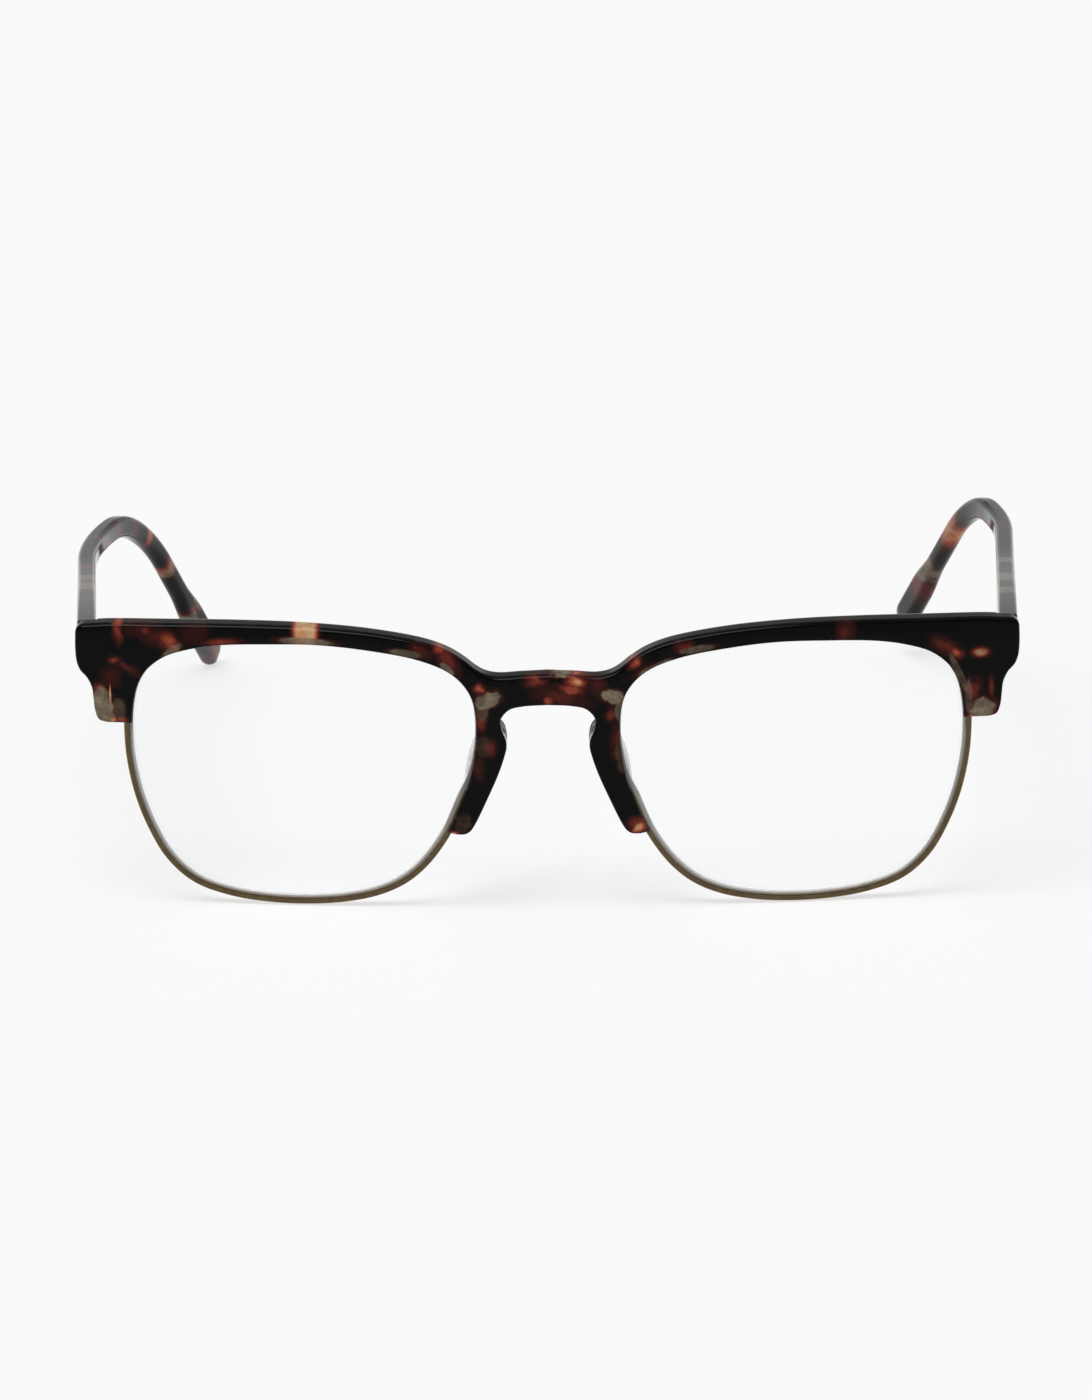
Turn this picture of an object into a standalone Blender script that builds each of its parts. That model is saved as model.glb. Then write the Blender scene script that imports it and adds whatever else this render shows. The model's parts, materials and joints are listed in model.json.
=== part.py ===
# Combination eyeglass frame: a one-piece acetate front with a brow bar, nose arms and short
# lugs, thin grooved metal rims below the lenses, clear lenses, glued nose pads, five-barrel
# hinges and acetate temples over metal core wires.
#
# Lengths are in metres and angles in degrees. The frame stands on its rims and temple tips:
# +Z is up, the front faces -Y, and the temples reach back along +Y. "left" and "right" are
# the wearer's, so the left side is at +X.

import math

import bmesh
import bpy
from mathutils import Matrix, Vector

# Lenses
LENS_WIDTH = 0.0528
LENS_HEIGHT = 0.0407
BRIDGE_WIDTH = 0.0194  # lens edge to lens edge
LENS_THICKNESS = 0.0016
LENS_BEVEL_DEPTH = 0.0010
LENS_DEPTH = 0.0021  # from the front's face to the middle of the lens edge

# Acetate front
FRONT_THICKNESS = 0.0040
FRONT_EDGE_ROUND = 0.00055
LENS_LIP = 0.0009  # acetate that covers the lens edge
ARM_LIP = 0.0002  # the same at the foot of a nose arm, where the rim just shows
BROW_HEIGHT = 0.0020  # acetate above the lens edge
BRIDGE_DROP = 0.0072  # bridge top below the brow top
END_REACH = 0.00745  # end piece beyond the lens edge
END_DEPTH = 0.0152  # brow top to the bottom of the lug
FACE_WRAP_RADIUS = 0.400
BASE_CURVE_RADIUS = 0.150

# Lower metal rims
RIM_WIDTH = 0.0020  # along the lens axis
RIM_INNER = 0.00035  # rim inside the lens edge
RIM_OUTER = 0.00040  # rim outside the lens edge
RIM_ROUND = 0.00025
RIM_GROOVE_FLOOR = 0.00012
TAB_THICKNESS = 0.0010
RIM_END_RISE = 0.0051  # rim's end in the lug above the lug's bottom
LUG_TAB_RISE = 0.0031  # middle of the tab above the lug's bottom
LUG_TAB_REACH = 0.0029
LUG_TAB_LENGTH = 0.0034
ARM_TAB_REACH = 0.0020
ARM_TAB_LENGTH = 0.0026

# Screws that hold the rim tabs, driven from behind
RIM_SCREW_RADIUS = 0.00040
RIM_SCREW_HEAD_RADIUS = 0.00075
RIM_SCREW_HEAD_HEIGHT = 0.00045
RIM_SCREW_LENGTH = 0.0031
SLOT_WIDTH = 0.00022
SLOT_DEPTH = 0.00020

# Nose pads
PAD_LENGTH = 0.0136
PAD_WIDTH = 0.0048
PAD_THICKNESS = 0.0034
PAD_FLARE = 0.0011  # how far the pad's crown leans away from the nose
PAD_LEAN = 17.0
PAD_TAPER_SHARE = 0.10  # how much wider the pad is at its upper end, of its mean width
PAD_CROWN_SHARE = 0.16  # flat spot on the pad's crown, of its size
PAD_DOME_POWER = 2.6

# Hinges
BARREL_RADIUS = 0.00125
BARREL_HEIGHT = 0.00090
BARREL_GAP = 0.00022
BARREL_COUNT = 5
AXIS_BEHIND_FRONT = 0.0017
AXIS_INSIDE_TEMPLE = 0.0017
HINGE_DROP = 0.0045  # middle of the hinge below the brow top
TEMPLE_INSET = 0.0001  # temple's outer face inside the front's side
NECK_HALF_WIDTH = 0.0008
LEAF_THICKNESS = 0.0009
FRONT_LEAF_INNER = 0.0034
FRONT_LEAF_OUTER = 0.0024
TEMPLE_LEAF_LENGTH = 0.0074
HINGE_SCREW_RADIUS = 0.00050
HINGE_SCREW_HEAD_RADIUS = 0.00095
HINGE_SCREW_HEAD_HEIGHT = 0.00045
HINGE_SCREW_END = 0.00030
HEAD_SIDE_SHARE = 0.67  # height of the head's straight side, of the head
HEAD_TOP_SHARE = 0.75  # radius of the head's flat top, of the head

# Temples
TEMPLE_LENGTH = 0.1450
TEMPLE_THICKNESS = 0.0028
BUTT_HEIGHT = 0.0074
SHAFT_HEIGHT = 0.0035
TIP_HEIGHT = 0.0052
SHAFT_START = 0.060  # where the taper from the butt ends
TIP_START = 0.124  # where the tip starts to widen
TIP_WIDENING = 0.009  # length over which it widens
TIP_ROUND = 0.0030
TIP_CROWN_SHARE = 0.14  # size of the last section at the tip, of the full one
BUTT_CORNER = 0.0005
SHAFT_CORNER = 0.0014
CORE_THICKNESS = 0.0009
CORE_HEIGHT = 0.0015
CORE_CORNER = 0.0003
CORE_END_MARGIN = 0.020
BUTT_GAP = 0.00025

# Each temple is bent by hand to fit, so the two differ a little
TEMPLE_BENDS = {
    "right": {
        "splay": 3.7,
        "droop": 3.05,
        "turn_in": 26.3,
        "turn_in_start": 0.0596,
        "turn_in_length": 0.0526,
        "bend": 44.7,
        "bend_start": 0.0889,
        "bend_length": 0.0272,
    },
    "left": {
        "splay": 3.4,
        "droop": 2.25,
        "turn_in": 21.7,
        "turn_in_start": 0.0731,
        "turn_in_length": 0.0351,
        "bend": 40.6,
        "bend_start": 0.0928,
        "bend_length": 0.0206,
    },
}

# Clearances
SEAT_GAP = 0.00020
SCREW_GAP = 0.00015
CUT_OVERRUN = 0.0010

# Fineness
EDGE_STEPS = 2
RIM_STEPS = 3
SEAT_STEPS = 6
ARM_LIP_STEPS = 2
ROUND_STEPS = 16
BARREL_STEPS = 12
PAD_SIDES = 20
PAD_LEVELS = 7
CORNER_STEPS = 3
CORE_CORNER_STEPS = 2
FRONT_COLUMNS = 28
FRONT_ROWS = 6
STRAIGHT_STATIONS = 7
CURVED_STATIONS = 22
TIP_STATIONS = 5
CORE_STATIONS = 18
PATH_STEPS = 290

# Lens edge, as shares of the lens's half width and half height about its middle. It starts at
# the rim's end in the lug, runs down and round to the nose, and comes back over the top.
LENS_EDGE_SHARES = (
    (0.975, 0.604), (0.997, 0.440), (1.000, 0.300), (0.990, 0.085), (0.951, -0.177),
    (0.883, -0.428), (0.780, -0.673), (0.634, -0.850), (0.432, -0.948), (0.215, -0.991),
    (-0.011, -1.000), (-0.215, -0.979), (-0.398, -0.926), (-0.548, -0.835), (-0.674, -0.693),
    (-0.799, -0.462), (-0.867, -0.265), (-0.896, -0.172), (-0.936, -0.069), (-0.966, 0.034),
    (-0.998, 0.285), (-0.981, 0.555), (-0.917, 0.705), (-0.818, 0.811), (-0.640, 0.900),
    (-0.345, 0.968), (-0.080, 1.000), (0.186, 1.000), (0.473, 0.985), (0.648, 0.948),
    (0.792, 0.887), (0.895, 0.790), (0.945, 0.700),
)
# Places along it are counted from its first point.
OUTER_SIDE_PLACES = (-4.0, 8.0)  # the edge only falls between these
PLACE_HALVINGS = 30  # steps of the search for a place at a height
ARM_SLOT_PLACE = 14.6  # where the slot for the rim runs out below the arm's foot
ARM_FOOT_PLACE = 15.1  # corner of the arm's foot
ARM_TAB_PLACE = 15.95
ARM_LIP_PLACE = 17.5  # where the lip starts to narrow towards the foot
RIM_END_PLACE = 17.4  # the rim's nose end
PLACE_STEP = 0.01  # step that finds the edge's direction
LENS_FACE_SHARES = (0.3, 0.68)  # rings on a lens's faces, from its middle to its edge

# Top of the bridge and brow: across as a share of the lens width from the lens edge, or of
# the half bridge before it, and down as a share of the bridge drop.
BRIDGE_TOP_SHARES = ((0.0, 0.985), (0.41, 1.01), (0.753, 1.035), (0.948, 0.985))
BROW_TOP_SHARES = (
    (0.017, 0.88), (0.047, 0.71), (0.091, 0.515), (0.157, 0.34), (0.309, 0.145),
    (0.498, 0.035), (0.6875, 0.01), (0.896, 0.03),
)
# End piece and lug: across as a share of the end reach, down as a share of the end depth.
END_PIECE_SHARES = (
    (0.267, 0.024), (0.680, 0.040), (0.895, 0.054), (0.982, 0.095), (1.0, 0.185),
    (0.998, 0.320), (0.975, 0.412), (0.910, 0.492), (0.773, 0.566), (0.678, 0.663),
    (0.648, 0.78), (0.620, 0.89), (0.547, 0.974), (0.387, 1.0),
)
# Nose side of the arm and the bridge's underside: across as a share of the half bridge, up
# as a share of the lens height.
NOSE_ARM_SHARES = (
    (1.402, 0.275), (1.278, 0.276), (1.196, 0.287), (1.124, 0.312), (0.928, 0.411),
    (0.763, 0.502), (0.670, 0.566), (0.630, 0.608), (0.642, 0.632), (0.680, 0.655),
    (0.712, 0.683), (0.715, 0.710), (0.587, 0.745), (0.371, 0.758), (0.0, 0.763),
)
# Middle of the nose pad, across and up in the same way.
PAD_PLACE_SHARES = (0.950, 0.528)

SIDES = (("right", -1), ("left", 1))

lens_in = BRIDGE_WIDTH / 2
lens_out = lens_in + LENS_WIDTH
lens_middle_x = lens_in + LENS_WIDTH / 2
lens_low = RIM_OUTER
lens_middle_z = lens_low + LENS_HEIGHT / 2
lens_top = lens_low + LENS_HEIGHT
brow_top = lens_top + BROW_HEIGHT
lug_low = brow_top - END_DEPTH
front_half_width = lens_out + END_REACH
temple_middle_x = front_half_width - TEMPLE_INSET - TEMPLE_THICKNESS / 2
hinge_x = temple_middle_x - TEMPLE_THICKNESS / 2 - AXIS_INSIDE_TEMPLE
hinge_z = brow_top - HINGE_DROP
barrel_pitch = BARREL_HEIGHT + BARREL_GAP
hinge_half_height = (BARREL_COUNT * BARREL_HEIGHT + (BARREL_COUNT - 1) * BARREL_GAP) / 2


def clear_scene():
    for item in list(bpy.data.objects):
        bpy.data.objects.remove(item, do_unlink=True)


def plastic(name, colour, roughness, transmission=0.0):
    """A Principled material for acetate, pads and lenses."""
    material = bpy.data.materials.new(name)
    material.use_nodes = True
    shader = material.node_tree.nodes["Principled BSDF"]
    shader.inputs["Base Color"].default_value = (*colour, 1.0)
    shader.inputs["Roughness"].default_value = roughness
    shader.inputs["Transmission Weight"].default_value = transmission
    material.diffuse_color = (*colour, 1.0)
    return material


def metal(name, colour, roughness):
    """A Principled material for rims, hinges, wires and screws."""
    material = plastic(name, colour, roughness)
    material.node_tree.nodes["Principled BSDF"].inputs["Metallic"].default_value = 1.0
    return material


def curve_point(points, position, closed=False):
    """A point on the smooth line through the points, counted from 0 at the first."""
    count = len(points)
    index = math.floor(position)
    if not closed:
        index = min(max(index, 0), count - 2)
    part = position - index

    def pick(i):
        if closed:
            return Vector(points[i % count])
        if i < 0:
            return 2 * Vector(points[0]) - Vector(points[1])
        if i >= count:
            return 2 * Vector(points[-1]) - Vector(points[-2])
        return Vector(points[i])

    a, b, c, d = (pick(index + i) for i in (-1, 0, 1, 2))
    t1 = math.sqrt((b - a).length)
    t2 = t1 + math.sqrt((c - b).length)
    t3 = t2 + math.sqrt((d - c).length)
    t = t1 + part * (t2 - t1)
    ab = a + (b - a) * (t / t1)
    bc = b + (c - b) * ((t - t1) / (t2 - t1))
    cd = c + (d - c) * ((t - t2) / (t3 - t2))
    abc = ab + (bc - ab) * (t / t2)
    bcd = bc + (cd - bc) * ((t - t1) / (t3 - t1))
    return abc + (bcd - abc) * ((t - t1) / (t2 - t1))


def smooth_line(points, steps):
    """The points with others between them on a smooth line."""
    return [curve_point(points, i / steps) for i in range((len(points) - 1) * steps + 1)]


def edge_points():
    half_x = LENS_WIDTH / 2
    half_z = LENS_HEIGHT / 2
    return [(lens_middle_x + x * half_x, lens_middle_z + z * half_z) for x, z in LENS_EDGE_SHARES]


LENS_EDGE = edge_points()


def edge_direction(position):
    """The direction of the lens edge on the flat front."""
    ahead = curve_point(LENS_EDGE, position + PLACE_STEP, closed=True)
    behind = curve_point(LENS_EDGE, position - PLACE_STEP, closed=True)
    return (ahead - behind).normalized()


def lens_edge(position, outward=0.0):
    """A point of the lens edge on the flat front, moved outward from the lens."""
    along = edge_direction(position)
    return curve_point(LENS_EDGE, position, closed=True) + Vector((-along.y, along.x)) * outward


def place_at_height(height):
    """The place on the outer side of the lens edge that lies at this height."""
    above, below = OUTER_SIDE_PLACES
    for _ in range(PLACE_HALVINGS):
        middle = (above + below) / 2
        if lens_edge(middle).y > height:
            above = middle
        else:
            below = middle
    return below


rim_start_place = place_at_height(lug_low + RIM_END_RISE)
lug_tab_place = place_at_height(lug_low + LUG_TAB_RISE)
lug_slot_place = place_at_height(lug_low - CUT_OVERRUN)


def wrapped(x, z, depth):
    """A point of the flat front moved onto its face wrap and base curve."""
    sag = x * x / (2 * FACE_WRAP_RADIUS) + (z - lens_middle_z) ** 2 / (2 * BASE_CURVE_RADIUS)
    return Vector((x, depth + sag, z))


def on_front(x, z, depth):
    """The place and turn of a straight piece that is let into the curved front."""
    slope = math.atan(x / FACE_WRAP_RADIUS)
    nod = -math.atan((z - lens_middle_z) / BASE_CURVE_RADIUS)
    turn = Matrix.Rotation(slope, 4, "Z") @ Matrix.Rotation(nod, 4, "X")
    return Matrix.Translation(wrapped(x, z, depth)) @ turn


def new_object(name, bm, material=None, parent=None, matrix=None, angle=35.0):
    """Ends a bmesh as a named object with its faces turned outwards."""
    bmesh.ops.recalc_face_normals(bm, faces=bm.faces[:])
    mesh = bpy.data.meshes.new(name)
    bm.to_mesh(mesh)
    bm.free()
    mesh.shade_smooth()
    mesh.set_sharp_from_angle(angle=math.radians(angle))
    item = bpy.data.objects.new(name, mesh)
    bpy.context.scene.collection.objects.link(item)
    if material:
        mesh.materials.append(material)
    item.parent = parent
    item.matrix_local = matrix or Matrix.Identity(4)
    return item


def hidden(item):
    """Marks an object as a tool for a Boolean."""
    item.hide_render = True
    item.display_type = "WIRE"
    return item


def combine(item, tool, operation="DIFFERENCE"):
    """Cuts the tool from the object, or joins it to the object."""
    step = item.modifiers.new(tool.name, "BOOLEAN")
    step.operation = operation
    step.object = tool
    step.solver = "EXACT"


def axis_empty(name, parent, matrix):
    item = bpy.data.objects.new(name, None)
    item.empty_display_size = BARREL_RADIUS
    bpy.context.scene.collection.objects.link(item)
    item.parent = parent
    item.matrix_local = matrix
    return item


def loft(bm, rings, ring_closed=False):
    """Joins rings of points with faces and closes the first and last ring, or joins them."""
    rows = [[bm.verts.new(point) for point in ring] for ring in rings]
    pairs = list(zip(rows, rows[1:]))
    if ring_closed:
        pairs.append((rows[-1], rows[0]))
    for first, second in pairs:
        for i in range(len(first)):
            j = (i + 1) % len(first)
            bm.faces.new((first[i], first[j], second[j], second[i]))
    if not ring_closed:
        bm.faces.new(rows[0])
        bm.faces.new(rows[-1])


def box(bm, low, high):
    """A box between two corners."""
    middle = (Vector(low) + Vector(high)) / 2
    size = Vector(high) - Vector(low)
    matrix = Matrix.Translation(middle) @ Matrix.Diagonal((*size, 1.0))
    bmesh.ops.create_cube(bm, size=1.0, matrix=matrix)


def turned(bm, profile):
    """A round piece about Z from pairs of radius and height, from the bottom up."""
    rings = []
    for radius, height in profile:
        ring = []
        for i in range(ROUND_STEPS):
            turn = 2 * math.pi * i / ROUND_STEPS
            ring.append((radius * math.cos(turn), radius * math.sin(turn), height))
        rings.append(ring)
    loft(bm, rings)


def front_outline():
    """The flat front's outline, from the middle of the bridge round the left half and back."""
    half_bridge = BRIDGE_WIDTH / 2
    top = [(x * half_bridge, brow_top - z * BRIDGE_DROP) for x, z in BRIDGE_TOP_SHARES]
    top += [(lens_in + x * LENS_WIDTH, brow_top - z * BRIDGE_DROP) for x, z in BROW_TOP_SHARES]
    top += [(lens_out + x * END_REACH, brow_top - z * END_DEPTH) for x, z in END_PIECE_SHARES]
    nose = [(x * half_bridge, lens_low + z * LENS_HEIGHT) for x, z in NOSE_ARM_SHARES]
    outline = smooth_line(top, EDGE_STEPS)
    inner = []
    over_top = len(LENS_EDGE_SHARES) - ARM_LIP_PLACE
    mouth = math.ceil(place_at_height(lug_low) * EDGE_STEPS)
    for i in range(mouth + round(over_top * EDGE_STEPS) + 1):
        point = lens_edge((mouth - i) / EDGE_STEPS, -LENS_LIP)
        if point.y > lug_low + FRONT_EDGE_ROUND:
            inner.append(point)
    outline.append(Vector((inner[0].x, lug_low)))
    outline += inner
    foot = ARM_FOOT_PLACE - ARM_LIP_PLACE
    foot_steps = round(-foot * EDGE_STEPS)
    for i in range(1, foot_steps + 1):
        narrowing = (ARM_LIP - LENS_LIP) * min(i / ARM_LIP_STEPS, 1.0)
        outline.append(lens_edge(ARM_LIP_PLACE + foot * i / foot_steps, -LENS_LIP - narrowing))
    outline += smooth_line(nose, EDGE_STEPS)
    return outline


def acetate_front(material, datum):
    """The one-piece front: the outline extruded, its edges rounded, then wrapped to the face."""
    half = front_outline()
    whole = half + [Vector((-p.x, p.y)) for p in reversed(half[1:-1])]
    bm = bmesh.new()
    face = bm.faces.new([bm.verts.new((p.x, 0.0, p.y)) for p in whole])
    grown = bmesh.ops.extrude_face_region(bm, geom=[face])
    back = [v for v in grown["geom"] if isinstance(v, bmesh.types.BMVert)]
    bmesh.ops.translate(bm, verts=back, vec=(0.0, FRONT_THICKNESS, 0.0))
    rims = [e for e in bm.edges if e.verts[0].co.y == e.verts[1].co.y]
    bmesh.ops.bevel(
        bm,
        geom=rims,
        offset=FRONT_EDGE_ROUND,
        segments=2,
        profile=0.5,
        affect="EDGES",
        clamp_overlap=True,
    )
    for i in range(1, FRONT_COLUMNS):
        place = front_half_width * (2 * i / FRONT_COLUMNS - 1)
        parts = bm.verts[:] + bm.edges[:] + bm.faces[:]
        bmesh.ops.bisect_plane(bm, geom=parts, plane_co=(place, 0, 0), plane_no=(1, 0, 0))
    for i in range(1, FRONT_ROWS):
        place = brow_top * i / FRONT_ROWS
        parts = bm.verts[:] + bm.edges[:] + bm.faces[:]
        bmesh.ops.bisect_plane(bm, geom=parts, plane_co=(0, 0, place), plane_no=(0, 0, 1))
    bmesh.ops.triangulate(bm, faces=bm.faces[:])
    for vert in bm.verts:
        vert.co = wrapped(vert.co.x, vert.co.z, vert.co.y)
    return new_object("acetate_front", bm, material, datum)


def swept(bm, section, places, side, ring_closed=False):
    """A section of pairs, outward from the lens edge and along its axis, swept along the edge."""
    rings = []
    for place in places:
        ring = []
        for outward, along in section:
            point = lens_edge(place, outward)
            spot = wrapped(point.x, point.y, LENS_DEPTH + along)
            ring.append((side * spot.x, spot.y, spot.z))
        rings.append(ring)
    loft(bm, rings, ring_closed)


def bevel_half_width(inside):
    """Half the thickness of the lens's bevelled edge, this far inside its tip."""
    return LENS_THICKNESS / 2 * inside / LENS_BEVEL_DEPTH


def lens_groove(side, name):
    """The tool that cuts the V groove for the lens edge, stepped between the outline's points."""
    reach = LENS_LIP + CUT_OVERRUN
    mouth = bevel_half_width(reach) + SEAT_GAP
    section = ((SEAT_GAP, 0.0), (-reach, mouth), (-reach, -mouth))
    bm = bmesh.new()
    count = len(LENS_EDGE_SHARES) * EDGE_STEPS
    swept(bm, section, [(i + 0.5) / EDGE_STEPS for i in range(count)], side, ring_closed=True)
    return hidden(new_object(name, bm))


def lens(name, side, material, datum):
    """A lens with a V edge, built in rings from its middle to its edge and back."""
    bm = bmesh.new()
    half = LENS_THICKNESS / 2
    middle = Vector((lens_middle_x, lens_middle_z))
    count = len(LENS_EDGE_SHARES) * EDGE_STEPS
    stack = [(share, LENS_BEVEL_DEPTH, -half) for share in LENS_FACE_SHARES]
    stack += [(1.0, LENS_BEVEL_DEPTH, -half), (1.0, 0.0, 0.0), (1.0, LENS_BEVEL_DEPTH, half)]
    stack += [(share, LENS_BEVEL_DEPTH, half) for share in reversed(LENS_FACE_SHARES)]
    rings = []
    for share, inside, along in stack:
        ring = []
        for i in range(count):
            point = middle + (lens_edge(i / EDGE_STEPS, -inside) - middle) * share
            spot = wrapped(point.x, point.y, LENS_DEPTH + along)
            ring.append((side * spot.x, spot.y, spot.z))
        rings.append(ring)
    loft(bm, rings)
    return new_object(name, bm, material, datum)


def rim_section():
    """The rim's section: a channel that holds the lens edge, with its outer corners rounded."""
    half = RIM_WIDTH / 2
    mouth = bevel_half_width(RIM_INNER) + SEAT_GAP
    return (
        (-RIM_INNER, -half),
        (-RIM_INNER, -mouth),
        (RIM_GROOVE_FLOOR, 0.0),
        (-RIM_INNER, mouth),
        (-RIM_INNER, half),
        (RIM_OUTER - RIM_ROUND, half),
        (RIM_OUTER, half - RIM_ROUND),
        (RIM_OUTER, RIM_ROUND - half),
        (RIM_OUTER - RIM_ROUND, -half),
    )


def tab_box(bm, place, reach, length, side, grow=0.0):
    """A rim tab, or its seat when grown: a small plate outward from the rim."""
    inner = lens_edge(place, -RIM_OUTER if grow else 0.0)
    outer = lens_edge(place, reach + grow)
    along = edge_direction(place)
    half_length = length / 2 + grow
    half_thick = TAB_THICKNESS / 2 + grow
    rings = []
    for depth in (LENS_DEPTH - half_thick, LENS_DEPTH + half_thick):
        ring = []
        for start, sign in ((inner, -1), (outer, -1), (outer, 1), (inner, 1)):
            spot = start + along * (sign * half_length)
            placed = wrapped(spot.x, spot.y, depth)
            ring.append((side * placed.x, placed.y, placed.z))
        rings.append(ring)
    loft(bm, rings)


def tab_screw_spot(place, reach):
    """Where a screw goes through a tab."""
    return lens_edge(place, (RIM_OUTER + reach) / 2 + SCREW_GAP)


def lower_rim(name, side, material, datum):
    """The metal rim round the lower part of a lens, with a tab at each end."""
    bm = bmesh.new()
    length = RIM_END_PLACE - rim_start_place
    count = round(length * RIM_STEPS)
    places = [rim_start_place + length * i / count for i in range(count + 1)]
    swept(bm, rim_section(), places, side)
    rim = new_object(name, bm, material, datum)
    for place, reach, length in rim_tabs():
        tab = bmesh.new()
        tab_box(tab, place, reach, length, side)
        combine(rim, hidden(new_object(name + "_tab", tab, None, datum)), "UNION")
        combine(rim, screw_hole(name + "_tab_hole", place, reach, side, datum))
    return rim


def rim_tabs():
    return (
        (lug_tab_place, LUG_TAB_REACH, LUG_TAB_LENGTH),
        (ARM_TAB_PLACE, ARM_TAB_REACH, ARM_TAB_LENGTH),
    )


def screw_matrix(place, reach, side):
    """A frame at the front's back over a tab, with Z pointing into the acetate."""
    spot = tab_screw_spot(place, reach)
    frame = on_front(spot.x, spot.y, FRONT_THICKNESS)
    if side < 0:
        frame = Matrix.Scale(-1, 4, (1, 0, 0)) @ frame @ Matrix.Scale(-1, 4, (1, 0, 0))
    return frame @ Matrix.Rotation(math.pi / 2, 4, "X")


def screw_hole(name, place, reach, side, datum):
    """The tool for a countersunk hole through the back lip and the tab."""
    bm = bmesh.new()
    wide = RIM_SCREW_HEAD_RADIUS + SCREW_GAP
    narrow = RIM_SCREW_RADIUS + SCREW_GAP
    turned(
        bm,
        (
            (wide, -CUT_OVERRUN),
            (wide, SCREW_GAP),
            (narrow, RIM_SCREW_HEAD_HEIGHT + SCREW_GAP),
            (narrow, RIM_SCREW_LENGTH + SCREW_GAP),
        ),
    )
    return hidden(new_object(name, bm, None, datum, screw_matrix(place, reach, side)))


def rim_screw(name, place, reach, side, material, datum):
    """A small countersunk screw that holds a rim tab, with a driver slot in its head."""
    bm = bmesh.new()
    turned(
        bm,
        (
            (RIM_SCREW_HEAD_RADIUS, 0.0),
            (RIM_SCREW_HEAD_RADIUS, SCREW_GAP),
            (RIM_SCREW_RADIUS, RIM_SCREW_HEAD_HEIGHT),
            (RIM_SCREW_RADIUS, RIM_SCREW_LENGTH - RIM_SCREW_RADIUS / 2),
            (RIM_SCREW_RADIUS / 2, RIM_SCREW_LENGTH),
        ),
    )
    screw = new_object(name, bm, material, datum, screw_matrix(place, reach, side))
    slot = bmesh.new()
    reach_x = RIM_SCREW_HEAD_RADIUS + CUT_OVERRUN
    box(slot, (-reach_x, -SLOT_WIDTH / 2, -CUT_OVERRUN), (reach_x, SLOT_WIDTH / 2, SLOT_DEPTH))
    tool = hidden(new_object(name + "_slot", slot, None, datum, screw_matrix(place, reach, side)))
    combine(screw, tool)
    return screw


def rim_seat(name, side, start, stop, datum):
    """The tool for the slot that an end of the rim runs into."""
    bm = bmesh.new()
    half = RIM_WIDTH / 2 + SEAT_GAP
    inner = -LENS_LIP - CUT_OVERRUN
    outer = RIM_OUTER + SEAT_GAP
    section = ((inner, -half), (inner, half), (outer, half), (outer, -half))
    places = [start + (stop - start) * i / SEAT_STEPS for i in range(SEAT_STEPS + 1)]
    swept(bm, section, places, side)
    return hidden(new_object(name, bm, None, datum))


def seat_front_for_rim(front, name, side, datum):
    """Cuts the rim slots, the tab seats and the screw holes of one side from the front."""
    near = SEAT_GAP / (lens_edge(0.5) - lens_edge(-0.5)).length
    lug_end = rim_start_place - near
    arm_end = RIM_END_PLACE + near
    combine(front, rim_seat(name + "_lug_slot", side, lug_end, lug_slot_place, datum))
    combine(front, rim_seat(name + "_arm_slot", side, ARM_SLOT_PLACE, arm_end, datum))
    for place, reach, length in rim_tabs():
        seat = bmesh.new()
        tab_box(seat, place, reach, length, side, SEAT_GAP)
        combine(front, hidden(new_object(name + "_tab_seat", seat, None, datum)))
        combine(front, screw_hole(name + "_screw_hole", place, reach, side, datum))


def nose_pad(name, side, material, datum):
    """A glued pad: a domed oval that leans along the nose arm and away from the nose."""
    across, up = PAD_PLACE_SHARES
    centre = Vector((across * BRIDGE_WIDTH / 2, lens_low + up * LENS_HEIGHT))
    lean = math.radians(PAD_LEAN)
    long_way = Vector((-math.sin(lean), math.cos(lean)))
    wide_way = Vector((math.cos(lean), math.sin(lean)))
    rings = []
    for level in range(PAD_LEVELS + 1):
        rise = level / PAD_LEVELS
        size = max(math.sqrt(1.0 - rise ** PAD_DOME_POWER), PAD_CROWN_SHARE)
        depth = FRONT_THICKNESS + SEAT_GAP + PAD_THICKNESS * rise
        shift = PAD_FLARE * rise
        ring = []
        for i in range(PAD_SIDES):
            turn = 2 * math.pi * i / PAD_SIDES
            taper = 1.0 + PAD_TAPER_SHARE * math.sin(turn)
            spot = centre + wide_way * (PAD_WIDTH / 2 * size * taper * math.cos(turn) + shift)
            spot += long_way * (PAD_LENGTH / 2 * size * math.sin(turn))
            placed = wrapped(spot.x, spot.y, depth)
            ring.append((side * placed.x, placed.y, placed.z))
        rings.append(ring)
    bm = bmesh.new()
    loft(bm, rings)
    return new_object(name, bm, material, datum, angle=50.0)


def hinge_back():
    """Where the flat that is milled on the back of the end piece lies at the hinge."""
    return wrapped(hinge_x, hinge_z - BUTT_HEIGHT / 2 - SEAT_GAP, FRONT_THICKNESS).y


def milled_flat(name, side, axis):
    """The tool that mills the end piece's back flat for the temple's butt."""
    slope = hinge_x / FACE_WRAP_RADIUS
    inner = AXIS_INSIDE_TEMPLE - 2 * SEAT_GAP
    outer = front_half_width - hinge_x + CUT_OVERRUN
    behind = AXIS_BEHIND_FRONT
    face = [(x, slope * x - behind) for x in (inner, outer)]
    outline = face + [(outer, behind), (inner, behind)]
    low = -BUTT_HEIGHT / 2 - SEAT_GAP
    high = HINGE_DROP + CUT_OVERRUN
    bm = bmesh.new()
    loft(bm, [[(side * x, y, z) for x, y in outline] for z in (low, high)])
    return hidden(new_object(name, bm, None, axis))


def plate_of(bm, outline, side, half_height):
    """An outline in plan, extruded to both sides of the hinge's middle."""
    rings = [[(side * x, y, z) for x, y in outline] for z in (-half_height, half_height)]
    loft(bm, rings)


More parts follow.
